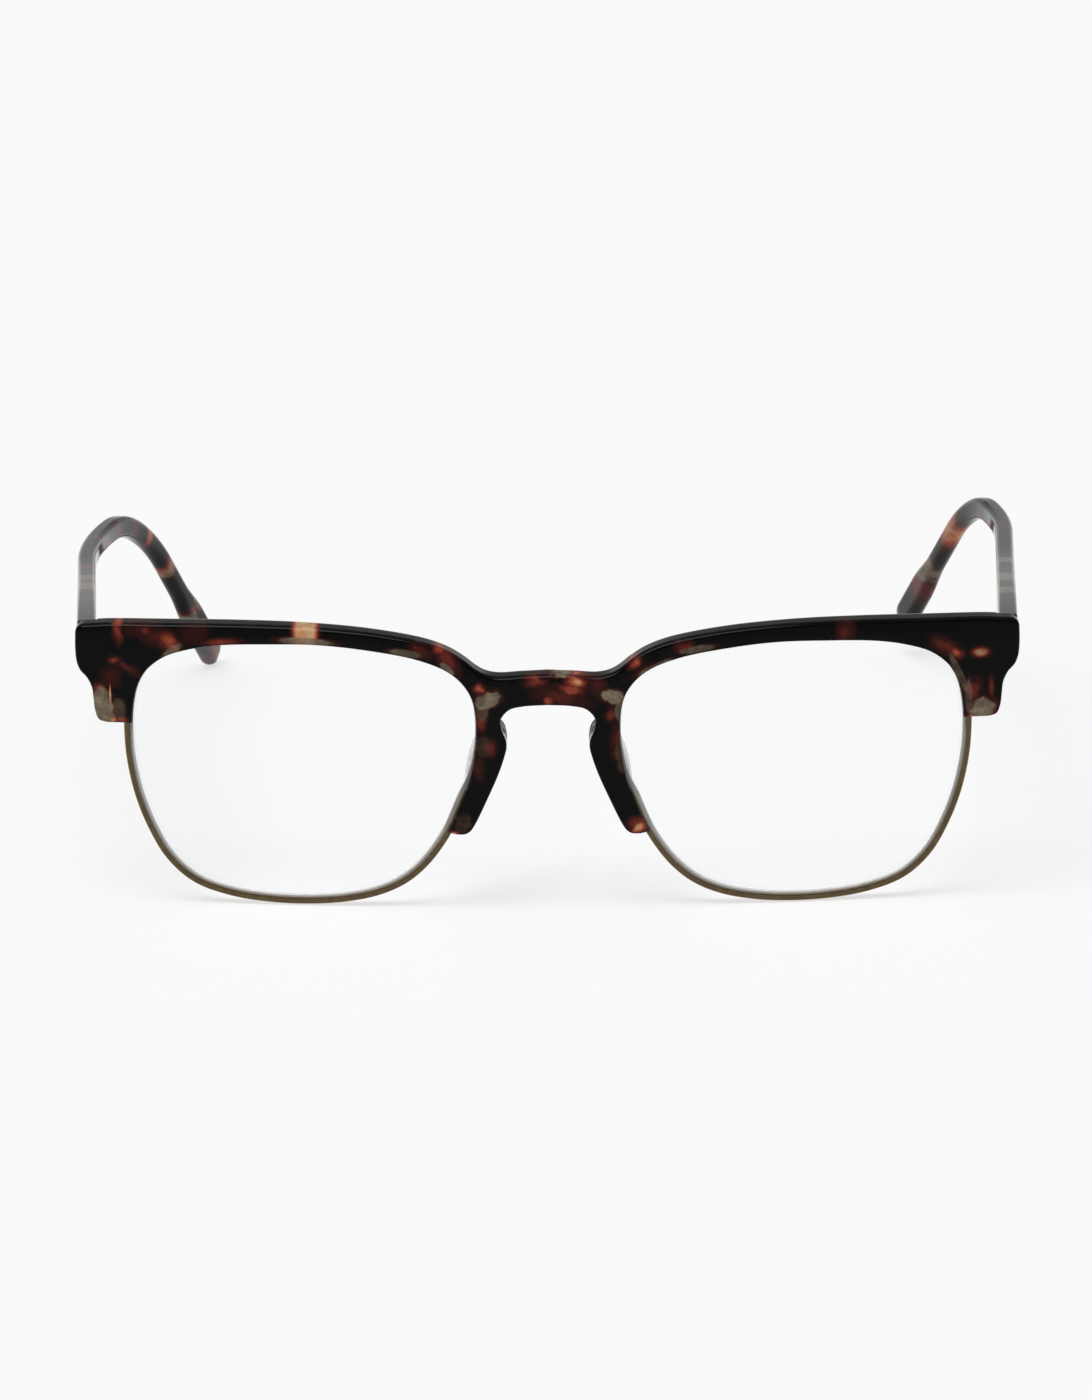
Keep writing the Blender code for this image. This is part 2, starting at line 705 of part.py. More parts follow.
def barrel_arc(start, stop):
    """A barrel's outline about the hinge axis, from one angle to another in degrees."""
    turns = [math.radians(start + (stop - start) * i / BARREL_STEPS) for i in range(BARREL_STEPS + 1)]
    return [(BARREL_RADIUS * math.cos(turn), BARREL_RADIUS * math.sin(turn)) for turn in turns]


def barrel_slabs(bm, first, low, high):
    """Boxes that clear every second barrel, starting at the one given."""
    for number in range(first, BARREL_COUNT, 2):
        middle = (number - (BARREL_COUNT - 1) / 2) * barrel_pitch
        half = BARREL_HEIGHT / 2 + BARREL_GAP
        box(bm, (*low, middle - half), (*high, middle + half))


def screw_bore(name, parent):
    bm = bmesh.new()
    reach = hinge_half_height + CUT_OVERRUN
    bore = HINGE_SCREW_RADIUS + SCREW_GAP
    turned(bm, ((bore, -reach), (bore, reach)))
    return hidden(new_object(name, bm, None, parent))


def front_leaf_outline(grow=0.0):
    """The front leaf in plan: a plate let into the front's back, a neck and a barrel."""
    slope = hinge_x / FACE_WRAP_RADIUS
    neck_angle = math.degrees(math.asin(NECK_HALF_WIDTH / BARREL_RADIUS))

    def back(x, deeper=0.0):
        return (x, -AXIS_BEHIND_FRONT + slope * x - deeper)

    plate = [
        back(FRONT_LEAF_OUTER + grow),
        back(FRONT_LEAF_OUTER + grow, LEAF_THICKNESS + grow),
        back(-FRONT_LEAF_INNER - grow, LEAF_THICKNESS + grow),
        back(-FRONT_LEAF_INNER - grow),
    ]
    if grow:
        plate[0] = back(FRONT_LEAF_OUTER + grow, -AXIS_BEHIND_FRONT)
        plate[3] = back(-FRONT_LEAF_INNER - grow, -AXIS_BEHIND_FRONT)
        return plate
    barrel = barrel_arc(270 - neck_angle, neck_angle - 90)
    return plate + [back(-NECK_HALF_WIDTH)] + barrel + [back(NECK_HALF_WIDTH)]


def front_hinge_leaf(name, side, material, axis):
    """The hinge leaf in the front, with barrels one, three and five."""
    bm = bmesh.new()
    plate_of(bm, front_leaf_outline(), side, hinge_half_height)
    leaf = new_object(name, bm, material, axis)
    slabs = bmesh.new()
    reach = BARREL_RADIUS + CUT_OVERRUN
    barrel_slabs(slabs, 1, (-reach, -BARREL_RADIUS - BARREL_GAP), (reach, reach))
    combine(leaf, hidden(new_object(name + "_gaps", slabs, None, axis)))
    combine(leaf, screw_bore(name + "_bore", axis))
    return leaf


def temple_leaf_outline():
    """The temple leaf in plan: a plate let into the temple's inner face, a neck and a barrel."""
    inner = AXIS_INSIDE_TEMPLE
    neck_angle = math.degrees(math.asin(NECK_HALF_WIDTH / BARREL_RADIUS))
    return [
        (inner + LEAF_THICKNESS, -NECK_HALF_WIDTH),
        (inner + LEAF_THICKNESS, TEMPLE_LEAF_LENGTH),
        (inner, TEMPLE_LEAF_LENGTH),
        (inner, NECK_HALF_WIDTH),
        *barrel_arc(neck_angle, 360 - neck_angle),
    ]


def temple_hinge_leaf(name, side, material, axis):
    """The hinge leaf in the temple, with barrels two and four."""
    bm = bmesh.new()
    plate_of(bm, temple_leaf_outline(), side, hinge_half_height)
    splay = Matrix.Rotation(-side * math.radians(TEMPLE_BENDS[side_name(side)]["splay"]), 4, "Z")
    leaf = new_object(name, bm, material, axis, splay)
    slabs = bmesh.new()
    reach = BARREL_RADIUS + CUT_OVERRUN
    clear = BARREL_RADIUS + BARREL_GAP
    low_x, high_x = sorted((-side * reach, side * clear))
    barrel_slabs(slabs, 0, (low_x, -reach), (high_x, reach))
    combine(leaf, hidden(new_object(name + "_gaps", slabs, None, axis, splay)))
    combine(leaf, screw_bore(name + "_bore", axis))
    return leaf


def hinge_screw(name, material, axis):
    """The slotted screw that pins the barrels together."""
    top = hinge_half_height + SCREW_GAP
    head_top = top + HINGE_SCREW_HEAD_HEIGHT
    bm = bmesh.new()
    turned(
        bm,
        (
            (HINGE_SCREW_RADIUS, -hinge_half_height - HINGE_SCREW_END),
            (HINGE_SCREW_RADIUS, top),
            (HINGE_SCREW_HEAD_RADIUS, top),
            (HINGE_SCREW_HEAD_RADIUS, top + HINGE_SCREW_HEAD_HEIGHT * HEAD_SIDE_SHARE),
            (HINGE_SCREW_HEAD_RADIUS * HEAD_TOP_SHARE, head_top),
        ),
    )
    screw = new_object(name, bm, material, axis)
    slot = bmesh.new()
    reach = HINGE_SCREW_HEAD_RADIUS + CUT_OVERRUN
    low = (-reach, -SLOT_WIDTH / 2, head_top - SLOT_DEPTH)
    box(slot, low, (reach, SLOT_WIDTH / 2, head_top + CUT_OVERRUN))
    combine(screw, hidden(new_object(name + "_slot", slot, None, axis)))
    return screw


def side_name(side):
    return "left" if side > 0 else "right"


def temple_path(bends):
    """Places along a temple from its butt, each with its forward, outward and upward directions."""
    splay = math.radians(bends["splay"])
    point = Vector((AXIS_INSIDE_TEMPLE + TEMPLE_THICKNESS / 2, BUTT_GAP - AXIS_BEHIND_FRONT, 0.0))
    point.rotate(Matrix.Rotation(-splay, 3, "Z"))
    step = TEMPLE_LENGTH / PATH_STEPS
    path = []
    for i in range(PATH_STEPS + 1):
        along = step * i
        turned_in = (along - bends["turn_in_start"]) / bends["turn_in_length"]
        bent = (along - bends["bend_start"]) / bends["bend_length"]
        heading = splay - math.radians(bends["turn_in"]) * min(max(turned_in, 0.0), 1.0)
        pitch = math.radians(bends["droop"] + bends["bend"] * min(max(bent, 0.0), 1.0))
        level = Vector((math.sin(heading), math.cos(heading), 0.0))
        forward = level * math.cos(pitch) - Vector((0.0, 0.0, math.sin(pitch)))
        outward = Vector((math.cos(heading), -math.sin(heading), 0.0))
        path.append((point.copy(), forward, outward, outward.cross(forward)))
        point = point + forward * step
    return path


def place_on(path, along):
    """The frame at a length along the path."""
    position = min(max(along / TEMPLE_LENGTH, 0.0), 1.0) * PATH_STEPS
    index = min(int(position), PATH_STEPS - 1)
    part = position - index
    return [a.lerp(b, part) for a, b in zip(path[index], path[index + 1])]


def eased(value):
    value = min(max(value, 0.0), 1.0)
    return value * value * (3 - 2 * value)


def temple_height(along):
    """The height of the temple's section: deep at the hinge, slim, then wider at the tip."""
    taper = eased(along / SHAFT_START)
    widen = eased((along - TIP_START) / TIP_WIDENING)
    return BUTT_HEIGHT + (SHAFT_HEIGHT - BUTT_HEIGHT) * taper + (TIP_HEIGHT - SHAFT_HEIGHT) * widen


def temple_corner(along):
    """The corner radius of the temple's section: small at the hinge, round further back."""
    return BUTT_CORNER + (SHAFT_CORNER - BUTT_CORNER) * eased(along / SHAFT_START)


def rounded_section(width, height, corner, steps=CORNER_STEPS):
    """A rectangle with round corners, as pairs about its middle."""
    corner = min(corner, width / 2, height / 2)
    points = []
    for quarter, (x, z) in enumerate(((1, 1), (-1, 1), (-1, -1), (1, -1))):
        for i in range(steps + 1):
            turn = math.pi / 2 * (quarter + i / steps)
            points.append(
                (
                    x * (width / 2 - corner) + corner * math.cos(turn),
                    z * (height / 2 - corner) + corner * math.sin(turn),
                )
            )
    return points


def ring_at(frame, section, side):
    point, _, outward, upward = frame
    ring = []
    for across, up in section:
        spot = point + outward * across + upward * up
        ring.append((side * spot.x, spot.y, spot.z))
    return ring


def temple_stations(bends):
    """Lengths along the temple: few on its straight run, more where it bends."""
    straight = min(bends["turn_in_start"], bends["bend_start"])
    curved = TEMPLE_LENGTH - TIP_ROUND - straight
    stations = [straight * i / STRAIGHT_STATIONS for i in range(STRAIGHT_STATIONS)]
    stations += [straight + curved * i / CURVED_STATIONS for i in range(CURVED_STATIONS + 1)]
    return stations


def temple(name, side, bends, material, axis):
    """An acetate temple, lofted along its path, mitred at the butt and rounded at the tip."""
    path = temple_path(bends)
    rings = []
    for along in temple_stations(bends):
        section = rounded_section(TEMPLE_THICKNESS, temple_height(along), temple_corner(along))
        rings.append(ring_at(place_on(path, along), section, side))
    slope = hinge_x / FACE_WRAP_RADIUS
    forward = place_on(path, 0.0)[1]
    butt = []
    for x, y, z in rings[0]:
        wanted = BUTT_GAP - AXIS_BEHIND_FRONT + slope * side * x
        shift = (wanted - y) / forward.y
        butt.append((x + side * forward.x * shift, y + forward.y * shift, z + forward.z * shift))
    rings[0] = butt
    for i in range(1, TIP_STATIONS + 1):
        turn = math.pi / 2 * i / TIP_STATIONS
        size = max(math.cos(turn), TIP_CROWN_SHARE)
        along = TEMPLE_LENGTH - TIP_ROUND * (1 - math.sin(turn))
        width = TEMPLE_THICKNESS * size
        height = temple_height(along) * size
        section = rounded_section(width, height, temple_corner(along) * size)
        rings.append(ring_at(place_on(path, along), section, side))
    bm = bmesh.new()
    loft(bm, rings)
    item = new_object(name, bm, material, axis)
    combine(item, leaf_pocket(name + "_leaf_pocket", side, bends, axis))
    combine(item, core_bore(name + "_core_bore", side, path, axis))
    return item


def leaf_pocket(name, side, bends, axis):
    """The tool for the seat of the hinge leaf in the temple's inner face."""
    bm = bmesh.new()
    inner = AXIS_INSIDE_TEMPLE
    low_x, high_x = sorted((side * (inner - CUT_OVERRUN), side * (inner + LEAF_THICKNESS + SEAT_GAP)))
    tall = hinge_half_height + SEAT_GAP
    low = (low_x, -AXIS_BEHIND_FRONT - CUT_OVERRUN, -tall)
    box(bm, low, (high_x, TEMPLE_LEAF_LENGTH + SEAT_GAP, tall))
    splay = Matrix.Rotation(-side * math.radians(bends["splay"]), 4, "Z")
    return hidden(new_object(name, bm, None, axis, splay))


def core_start():
    return AXIS_BEHIND_FRONT - BUTT_GAP + TEMPLE_LEAF_LENGTH + 2 * SEAT_GAP


def core_rings(path, side, start, stop, grow):
    width = CORE_THICKNESS + 2 * grow
    height = CORE_HEIGHT + 2 * grow
    section = rounded_section(width, height, CORE_CORNER + grow, CORE_CORNER_STEPS)
    rings = []
    for i in range(CORE_STATIONS + 1):
        along = start + (stop - start) * i / CORE_STATIONS
        rings.append(ring_at(place_on(path, along), section, side))
    return rings


def core_bore(name, side, path, axis):
    """The tool for the bore that holds the core wire. It opens into the leaf's seat."""
    bm = bmesh.new()
    start = core_start() - CUT_OVERRUN
    stop = TEMPLE_LENGTH - CORE_END_MARGIN + SEAT_GAP
    loft(bm, core_rings(path, side, start, stop, SEAT_GAP))
    return hidden(new_object(name, bm, None, axis))


def core_wire(name, side, bends, material, axis):
    """The metal wire inside a temple, butted to the hinge leaf."""
    bm = bmesh.new()
    stop = TEMPLE_LENGTH - CORE_END_MARGIN
    loft(bm, core_rings(temple_path(bends), side, core_start(), stop, 0.0))
    return new_object(name, bm, material, axis)


def leaf_seat(name, side, axis):
    """The tool for the seat of the front hinge leaf in the end piece."""
    bm = bmesh.new()
    plate_of(bm, front_leaf_outline(SEAT_GAP), side, hinge_half_height + SEAT_GAP)
    return hidden(new_object(name, bm, None, axis))


def barrel_relief(name, axis):
    """The tool that clears the end piece's back round the barrels and the screw's head."""
    bm = bmesh.new()
    radius = BARREL_RADIUS + SEAT_GAP
    low = -hinge_half_height - HINGE_SCREW_END - SEAT_GAP
    high = hinge_half_height + SCREW_GAP + HINGE_SCREW_HEAD_HEIGHT + SEAT_GAP
    turned(bm, ((radius, low), (radius, high)))
    return hidden(new_object(name, bm, None, axis))


def lowest_point(names):
    """The lowest point of the named objects."""
    graph = bpy.context.evaluated_depsgraph_get()
    points = []
    for name in names:
        item = bpy.data.objects[name].evaluated_get(graph)
        points += [item.matrix_world @ vert.co for vert in item.data.vertices]
    return min(points, key=lambda point: point.z)


def stand_up(datum):
    """Turns the frame until rims and temple tips touch the floor, and centres it on the origin."""
    rims = [name + "_lower_rim" for name, _ in SIDES]
    temples = [name + "_temple" for name, _ in SIDES]
    for _ in range(3):
        bpy.context.view_layer.update()
        rim = lowest_point(rims)
        tip = lowest_point(temples)
        tilt = math.atan2(tip.z - rim.z, tip.y - rim.y)
        datum.matrix_world = Matrix.Rotation(-tilt, 4, "X") @ datum.matrix_world
    bpy.context.view_layer.update()
    graph = bpy.context.evaluated_depsgraph_get()
    points = []
    for name in rims + temples + ["acetate_front"]:
        item = bpy.data.objects[name].evaluated_get(graph)
        points += [item.matrix_world @ vert.co for vert in item.data.vertices]
    low = Vector([min(point[i] for point in points) for i in range(3)])
    high = Vector([max(point[i] for point in points) for i in range(3)])
    middle = (low + high) / 2
    datum.matrix_world = Matrix.Translation((-middle.x, -middle.y, -low.z)) @ datum.matrix_world


def build():
    clear_scene()
    tortoise = plastic("tortoise_acetate", (0.05, 0.025, 0.015), 0.18)
    crystal = plastic("crystal_pad", (0.80, 0.76, 0.76), 0.15, 0.6)
    clear = plastic("clear_lens", (0.96, 0.97, 0.98), 0.05, 0.95)
    bronze = metal("antique_bronze", (0.36, 0.28, 0.17), 0.32)
    steel = metal("hinge_steel", (0.62, 0.60, 0.56), 0.30)

    datum = axis_empty("front_datum", None, Matrix.Identity(4))
    front = acetate_front(tortoise, datum)
    back = hinge_back()
    for name, side in SIDES:
        bends = TEMPLE_BENDS[name]
        groove = lens_groove(side, name + "_lens_groove")
        groove.parent = datum
        combine(front, groove)
        seat_front_for_rim(front, name, side, datum)
        lens(name + "_lens", side, clear, datum)
        lower_rim(name + "_lower_rim", side, bronze, datum)
        for (place, reach, _), spot in zip(rim_tabs(), ("lug", "nose")):
            rim_screw(f"{name}_{spot}_rim_screw", place, reach, side, bronze, datum)
        nose_pad(name + "_nose_pad", side, crystal, datum)
        spot = Matrix.Translation((side * hinge_x, back + AXIS_BEHIND_FRONT, hinge_z))
        axis = axis_empty(name + "_hinge_axis", datum, spot)
        combine(front, milled_flat(name + "_milled_flat", side, axis))
        combine(front, leaf_seat(name + "_leaf_seat", side, axis))
        combine(front, barrel_relief(name + "_barrel_relief", axis))
        front_hinge_leaf(name + "_front_hinge_leaf", side, steel, axis)
        hinge_screw(name + "_hinge_screw", steel, axis)
        temple_hinge_leaf(name + "_temple_hinge_leaf", side, steel, axis)
        temple(name + "_temple", side, bends, tortoise, axis)
        core_wire(name + "_temple_core_wire", side, bends, steel, axis)
    stand_up(datum)


build()
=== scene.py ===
import json
import math

import bmesh
import bpy
from mathutils import Matrix, Vector, kdtree


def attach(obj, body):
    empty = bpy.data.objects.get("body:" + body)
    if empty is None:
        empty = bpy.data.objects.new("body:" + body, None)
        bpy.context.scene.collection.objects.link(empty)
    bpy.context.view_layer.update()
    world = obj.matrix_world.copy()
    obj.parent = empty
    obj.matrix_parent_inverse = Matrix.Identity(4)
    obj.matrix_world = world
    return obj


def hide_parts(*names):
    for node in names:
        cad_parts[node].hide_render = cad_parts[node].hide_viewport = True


# Combination eyeglass frame. Lengths are in metres and angles in degrees, and places along a
# lens edge are counted in its points. "right" and "left" are the wearer's, so the left side is
# at +X. Shapes are worked out on the flat front, wrapped to the face and then placed where the
# frame's hinges say.

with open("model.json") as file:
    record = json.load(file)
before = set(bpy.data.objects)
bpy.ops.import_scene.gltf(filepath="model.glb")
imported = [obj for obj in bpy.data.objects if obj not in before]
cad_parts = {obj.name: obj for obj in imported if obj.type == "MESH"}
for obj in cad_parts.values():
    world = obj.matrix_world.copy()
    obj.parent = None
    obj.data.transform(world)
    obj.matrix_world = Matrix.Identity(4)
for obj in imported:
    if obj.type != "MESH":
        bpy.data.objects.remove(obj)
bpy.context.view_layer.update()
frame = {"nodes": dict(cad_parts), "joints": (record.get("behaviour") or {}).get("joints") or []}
scene = bpy.context.scene
sides = (("right", -1), ("left", 1))
print("frame loaded:", len(frame["nodes"]), "nodes")

lens = {
    "width": 0.0528,
    "height": 0.0407,
    "bridge": 0.0194,  # lens edge to lens edge
    "thickness": 0.0016,
    "bevel": 0.0010,
    "depth": 0.0021,
    "steps": 8,
    "outerSide": (-4.0, 8.0),  # the edge only falls between these places
    "halvings": 30,  # of that stretch, when a height is looked for
    "rings": (0.08, 0.22, 0.38, 0.54, 0.70, 0.86),  # shares of the way out from the middle
    "bevelFacing": 0.9,  # faces turned further from the front than this are the ground bevel
    "edge": (  # in halves of the width and height
        (0.975, 0.604), (0.997, 0.440), (1.000, 0.300), (0.990, 0.085), (0.951, -0.177),
        (0.883, -0.428), (0.780, -0.673), (0.634, -0.850), (0.432, -0.948), (0.215, -0.991),
        (-0.011, -1.000), (-0.215, -0.979), (-0.398, -0.926), (-0.548, -0.835), (-0.674, -0.693),
        (-0.799, -0.462), (-0.867, -0.265), (-0.896, -0.172), (-0.936, -0.069), (-0.966, 0.034),
        (-0.998, 0.285), (-0.981, 0.555), (-0.917, 0.705), (-0.818, 0.811), (-0.640, 0.900),
        (-0.345, 0.968), (-0.080, 1.000), (0.186, 1.000), (0.473, 0.985), (0.648, 0.948),
        (0.792, 0.887), (0.895, 0.790), (0.945, 0.700),
    ),
}
front = {
    "thickness": 0.0040,
    "round": 0.00055,
    "lip": 0.0009,
    "armLip": 0.0002,  # where the rim comes out at an arm's foot
    "brow": 0.0020,
    "bridgeDrop": 0.0072,
    "endReach": 0.00745,
    "endDepth": 0.0152,
    "wrapRadius": 0.400,
    "baseRadius": 0.150,
    "seat": 0.0002,  # play round a piece that is let in
    "overrun": 0.0010,  # how far a cutting shape stands out
    "steps": 8,
    "roundSteps": 4,
    "cornerClear": 1.3,  # in roundings, kept free of points at a lug's corner and an arm's foot
    "footClear": 2.2,
    "cell": 0.0018,  # of the grid that lets the front bend
    "armFoot": 15.1,  # places along the lens edge
    "lipNarrow": 16.8,  # where an arm's lip has grown narrow, and where it is full
    "lipFull": 20.0,
    # outlines, in shares of half the bridge, the lens, the bridge's drop and the end piece
    "bridgeTop": ((0.0, 0.985), (0.41, 1.01), (0.753, 1.035), (0.948, 0.985)),
    "browTop": (
        (0.017, 0.88), (0.047, 0.71), (0.091, 0.515), (0.157, 0.34), (0.309, 0.145),
        (0.498, 0.035), (0.6875, 0.01), (0.896, 0.03),
    ),
    "endPiece": (
        (0.267, 0.024), (0.680, 0.040), (0.895, 0.054), (0.982, 0.095), (1.0, 0.185),
        (0.998, 0.320), (0.975, 0.412), (0.910, 0.492), (0.773, 0.566), (0.678, 0.663),
        (0.648, 0.78), (0.620, 0.89), (0.547, 0.974), (0.387, 1.0),
    ),
    "noseArm": (
        (1.402, 0.275), (1.278, 0.276), (1.196, 0.287), (1.124, 0.312), (0.928, 0.411),
        (0.763, 0.502), (0.670, 0.566), (0.630, 0.608), (0.642, 0.632), (0.680, 0.655),
        (0.712, 0.683), (0.715, 0.710), (0.587, 0.745), (0.371, 0.758), (0.0, 0.763),
    ),
}
rim = {
    "width": 0.0020,
    "inner": 0.00035,
    "outer": 0.00040,
    "round": 0.00025,
    "grooveFloor": 0.00012,
    "end": 17.4,
    "steps": 8,
    "roundSteps": 4,
    "slotSteps": 16,
    "tabThickness": 0.0010,
    "endRise": 0.0051,  # the rim's end and its tab above the lug's bottom
    "tabRise": 0.0031,
    "lugTab": (0.0029, 0.0034),  # reach and length
    "armTab": (0.0020, 0.0026),
    "armTabPlace": 15.95,
    "armSlot": 14.6,
}
screw = {
    "radius": 0.00040,
    "headRadius": 0.00075,
    "headHeight": 0.00045,
    "length": 0.0031,
    "gap": 0.00015,
    "slotWidth": 0.00022,
    "slotDepth": 0.00020,
    "sides": 40,  # of every turned piece
}
hinge = {
    "barrel": 0.00125,
    "barrelHeight": 0.00090,
    "barrelGap": 0.00022,
    "count": 5,
    "behindFront": 0.0017,
    "insideTemple": 0.0017,
    "drop": 0.0045,  # below the brow top
    "neck": 0.0008,
    "leaf": 0.0009,
    "leafInner": 0.0034,
    "leafOuter": 0.0024,
    "templeLeaf": 0.0074,
    "pin": 0.00050,
    "head": 0.00095,
    "headHeight": 0.00045,
    "headShape": ((1.0, 0.67), (0.93, 0.87), (0.75, 1.0)),  # shares of its radius and height
    "pinEnd": 0.00030,
    "round": 0.00008,
}
temple = {
    "inset": 0.0001,
    "length": 0.1450,
    "thickness": 0.0028,
    "butt": 0.0074,
    "shaft": 0.0035,
    "tip": 0.0052,
    "shaftStart": 0.060,
    "tipStart": 0.124,
    "tipWidening": 0.009,
    "tipRound": 0.0030,
    "tipLeast": 0.06,  # the last section's share of a full one
    "buttCorner": 0.0005,
    "shaftCorner": 0.0009,
    "tailCorner": 0.0014,  # the bent tail is rounder
    "tailStart": 0.092,
    "tailFull": 0.112,
    "buttGap": 0.00025,
    "stations": 130,
    "tipStations": 9,
    "pathSteps": 290,
    "bends": {
        "right": {"splay": 3.7, "droop": 3.05, "turnIn": 26.3, "turnInStart": 0.0596,
                  "turnInLength": 0.0526, "bend": 44.7, "bendStart": 0.0889, "bendLength": 0.0272},
        "left": {"splay": 3.4, "droop": 2.25, "turnIn": 21.7, "turnInStart": 0.0731,
                 "turnInLength": 0.0351, "bend": 40.6, "bendStart": 0.0928, "bendLength": 0.0206},
    },
}

lensIn = lens["bridge"] / 2
lensOut = lensIn + lens["width"]
lensX = lensIn + lens["width"] / 2
lensLow = rim["outer"]
lensZ = lensLow + lens["height"] / 2
browTop = lensLow + lens["height"] + front["brow"]
lugLow = browTop - front["endDepth"]
halfWidth = lensOut + front["endReach"]
hingeX = halfWidth - temple["inset"] - temple["thickness"] - hinge["insideTemple"]
hingeZ = browTop - hinge["drop"]
barrelPitch = hinge["barrelHeight"] + hinge["barrelGap"]
hingeHalf = (hinge["count"] * barrelPitch - hinge["barrelGap"]) / 2
wrapSlope = hingeX / front["wrapRadius"]
lensEdgePoints = [
    (lensX + x * lens["width"] / 2, lensZ + z * lens["height"] / 2) for x, z in lens["edge"]
]


def curvePoint(points, place, closed=False):
    # a smooth line through the points, as the frame's outlines have it
    count = len(points)
    index = math.floor(place)
    if not closed:
        index = min(max(index, 0), count - 2)
    share = place - index

    def pick(i):
        if closed:
            return Vector(points[i % count])
        if i < 0:
            return 2 * Vector(points[0]) - Vector(points[1])
        if i >= count:
            return 2 * Vector(points[-1]) - Vector(points[-2])
        return Vector(points[i])

    a, b, c, d = (pick(index + i) for i in (-1, 0, 1, 2))
    t1 = math.sqrt((b - a).length)
    t2 = t1 + math.sqrt((c - b).length)
    t3 = t2 + math.sqrt((d - c).length)
    t = t1 + share * (t2 - t1)
    ab = a + (b - a) * (t / t1)
    bc = b + (c - b) * ((t - t1) / (t2 - t1))
    cd = c + (d - c) * ((t - t2) / (t3 - t2))
    abc = ab + (bc - ab) * (t / t2)
    bcd = bc + (cd - bc) * ((t - t1) / (t3 - t1))
    return abc + (bcd - abc) * ((t - t1) / (t2 - t1))


def smoothLine(points, steps):
    return [curvePoint(points, i / steps) for i in range((len(points) - 1) * steps + 1)]


def edgeDirection(place, near=0.01):
    ahead = curvePoint(lensEdgePoints, place + near, True)
    return (ahead - curvePoint(lensEdgePoints, place - near, True)).normalized()


def lensEdge(place, outward=0.0):
    along = edgeDirection(place)
    return curvePoint(lensEdgePoints, place, True) + Vector((-along.y, along.x)) * outward


def placeAtHeight(height):
    # where the lens edge's outer side passes this height
    above, below = lens["outerSide"]
    for _ in range(lens["halvings"]):
        middle = (above + below) / 2
        if lensEdge(middle).y > height:
            above = middle
        else:
            below = middle
    return below


rimStart = placeAtHeight(lugLow + rim["endRise"])
lugSlot = placeAtHeight(lugLow - front["overrun"])
rimTabs = (
    (placeAtHeight(lugLow + rim["tabRise"]), *rim["lugTab"]),
    (rim["armTabPlace"], *rim["armTab"]),
)


def wrapped(x, z, depth):
    sag = x * x / (2 * front["wrapRadius"]) + (z - lensZ) ** 2 / (2 * front["baseRadius"])
    return Vector((x, depth + sag, z))


def mirrored(points, side):
    # points of the left side, put on the side that is wanted
    return [(side * p.x, p.y, p.z) for p in points]


def onFront(x, z, depth):
    slope = math.atan(x / front["wrapRadius"])
    nod = -math.atan((z - lensZ) / front["baseRadius"])
    turn = Matrix.Rotation(slope, 4, "Z") @ Matrix.Rotation(nod, 4, "X")
    return Matrix.Translation(wrapped(x, z, depth)) @ turn


# The frame's hinges say how the front stands.
joints = {joint["name"]: joint for joint in frame["joints"]}
leftFold, rightFold = joints["left_temple_fold"], joints["right_temple_fold"]
upright = Vector(leftFold["axis"])
standing = Matrix.Rotation(-math.atan2(upright.y, upright.z), 4, "X")
hingeLow = hingeZ - temple["butt"] / 2 - front["seat"]
hingeY = wrapped(hingeX, hingeLow, front["thickness"]).y + hinge["behindFront"]
hingeMiddle = (Vector(leftFold["pos_m"]) + Vector(rightFold["pos_m"])) / 2
datum = Matrix.Translation(hingeMiddle - standing @ Vector((0, hingeY, hingeZ))) @ standing


def pieceFrom(bm, name, matrix=Matrix.Identity(4)):
    # with its faces outwards, and taken from the front's own frame to where the front stands
    place = datum @ matrix
    bmesh.ops.recalc_face_normals(bm, faces=bm.faces[:])
    bmesh.ops.transform(bm, matrix=place, verts=bm.verts[:])
    if place.determinant() < 0:
        bmesh.ops.reverse_faces(bm, faces=bm.faces[:])
    mesh = bpy.data.meshes.new(name)
    bm.to_mesh(mesh)
    bm.free()
    piece = bpy.data.objects.new(name, mesh)
    scene.collection.objects.link(piece)
    return piece


def combine(piece, tool, operation="DIFFERENCE"):
    # one exact Boolean, and then the tool goes
    step = piece.modifiers.new("cut", "BOOLEAN")
    step.operation = operation
    step.object = tool
    step.solver = "EXACT"
    bpy.context.view_layer.update()
    graph = bpy.context.evaluated_depsgraph_get()
    cut = bpy.data.meshes.new_from_object(piece.evaluated_get(graph))
    piece.modifiers.clear()
    piece.data = cut
    bpy.data.objects.remove(tool, do_unlink=True)


def dress(piece, material, body, nodes, angle=32.0):
    # smooth shading, material, and the body that the piece rides on
    piece.data.materials.clear()
    piece.data.materials.append(material)
    piece.data.shade_smooth()
    piece.data.set_sharp_from_angle(angle=math.radians(angle))
    flat = piece.modifiers.new("weighted", "WEIGHTED_NORMAL")
    flat.keep_sharp = True
    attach(piece, body)
    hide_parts(*nodes)


def extrudeAlong(bm, rings):
    # the first ring is drawn, each next one is extruded from it, and the ends are closed
    verts = [bm.verts.new(point) for point in rings[0]]
    loop = [bm.edges.new(pair) for pair in zip(verts, verts[1:] + verts[:1])]
    first = loop
    for ring in rings[1:]:
        grown = bmesh.ops.extrude_edge_only(bm, edges=loop)["geom"]
        fresh = {item for item in grown if isinstance(item, bmesh.types.BMVert)}
        verts = [
            next(e.other_vert(v) for e in v.link_edges if e.other_vert(v) in fresh)
            for v in verts
        ]
        for vert, point in zip(verts, ring):
            vert.co = point
        loop = [e for e in grown if isinstance(e, bmesh.types.BMEdge) and set(e.verts) <= fresh]
    bmesh.ops.edgeloop_fill(bm, edges=first)
    bmesh.ops.edgeloop_fill(bm, edges=loop)


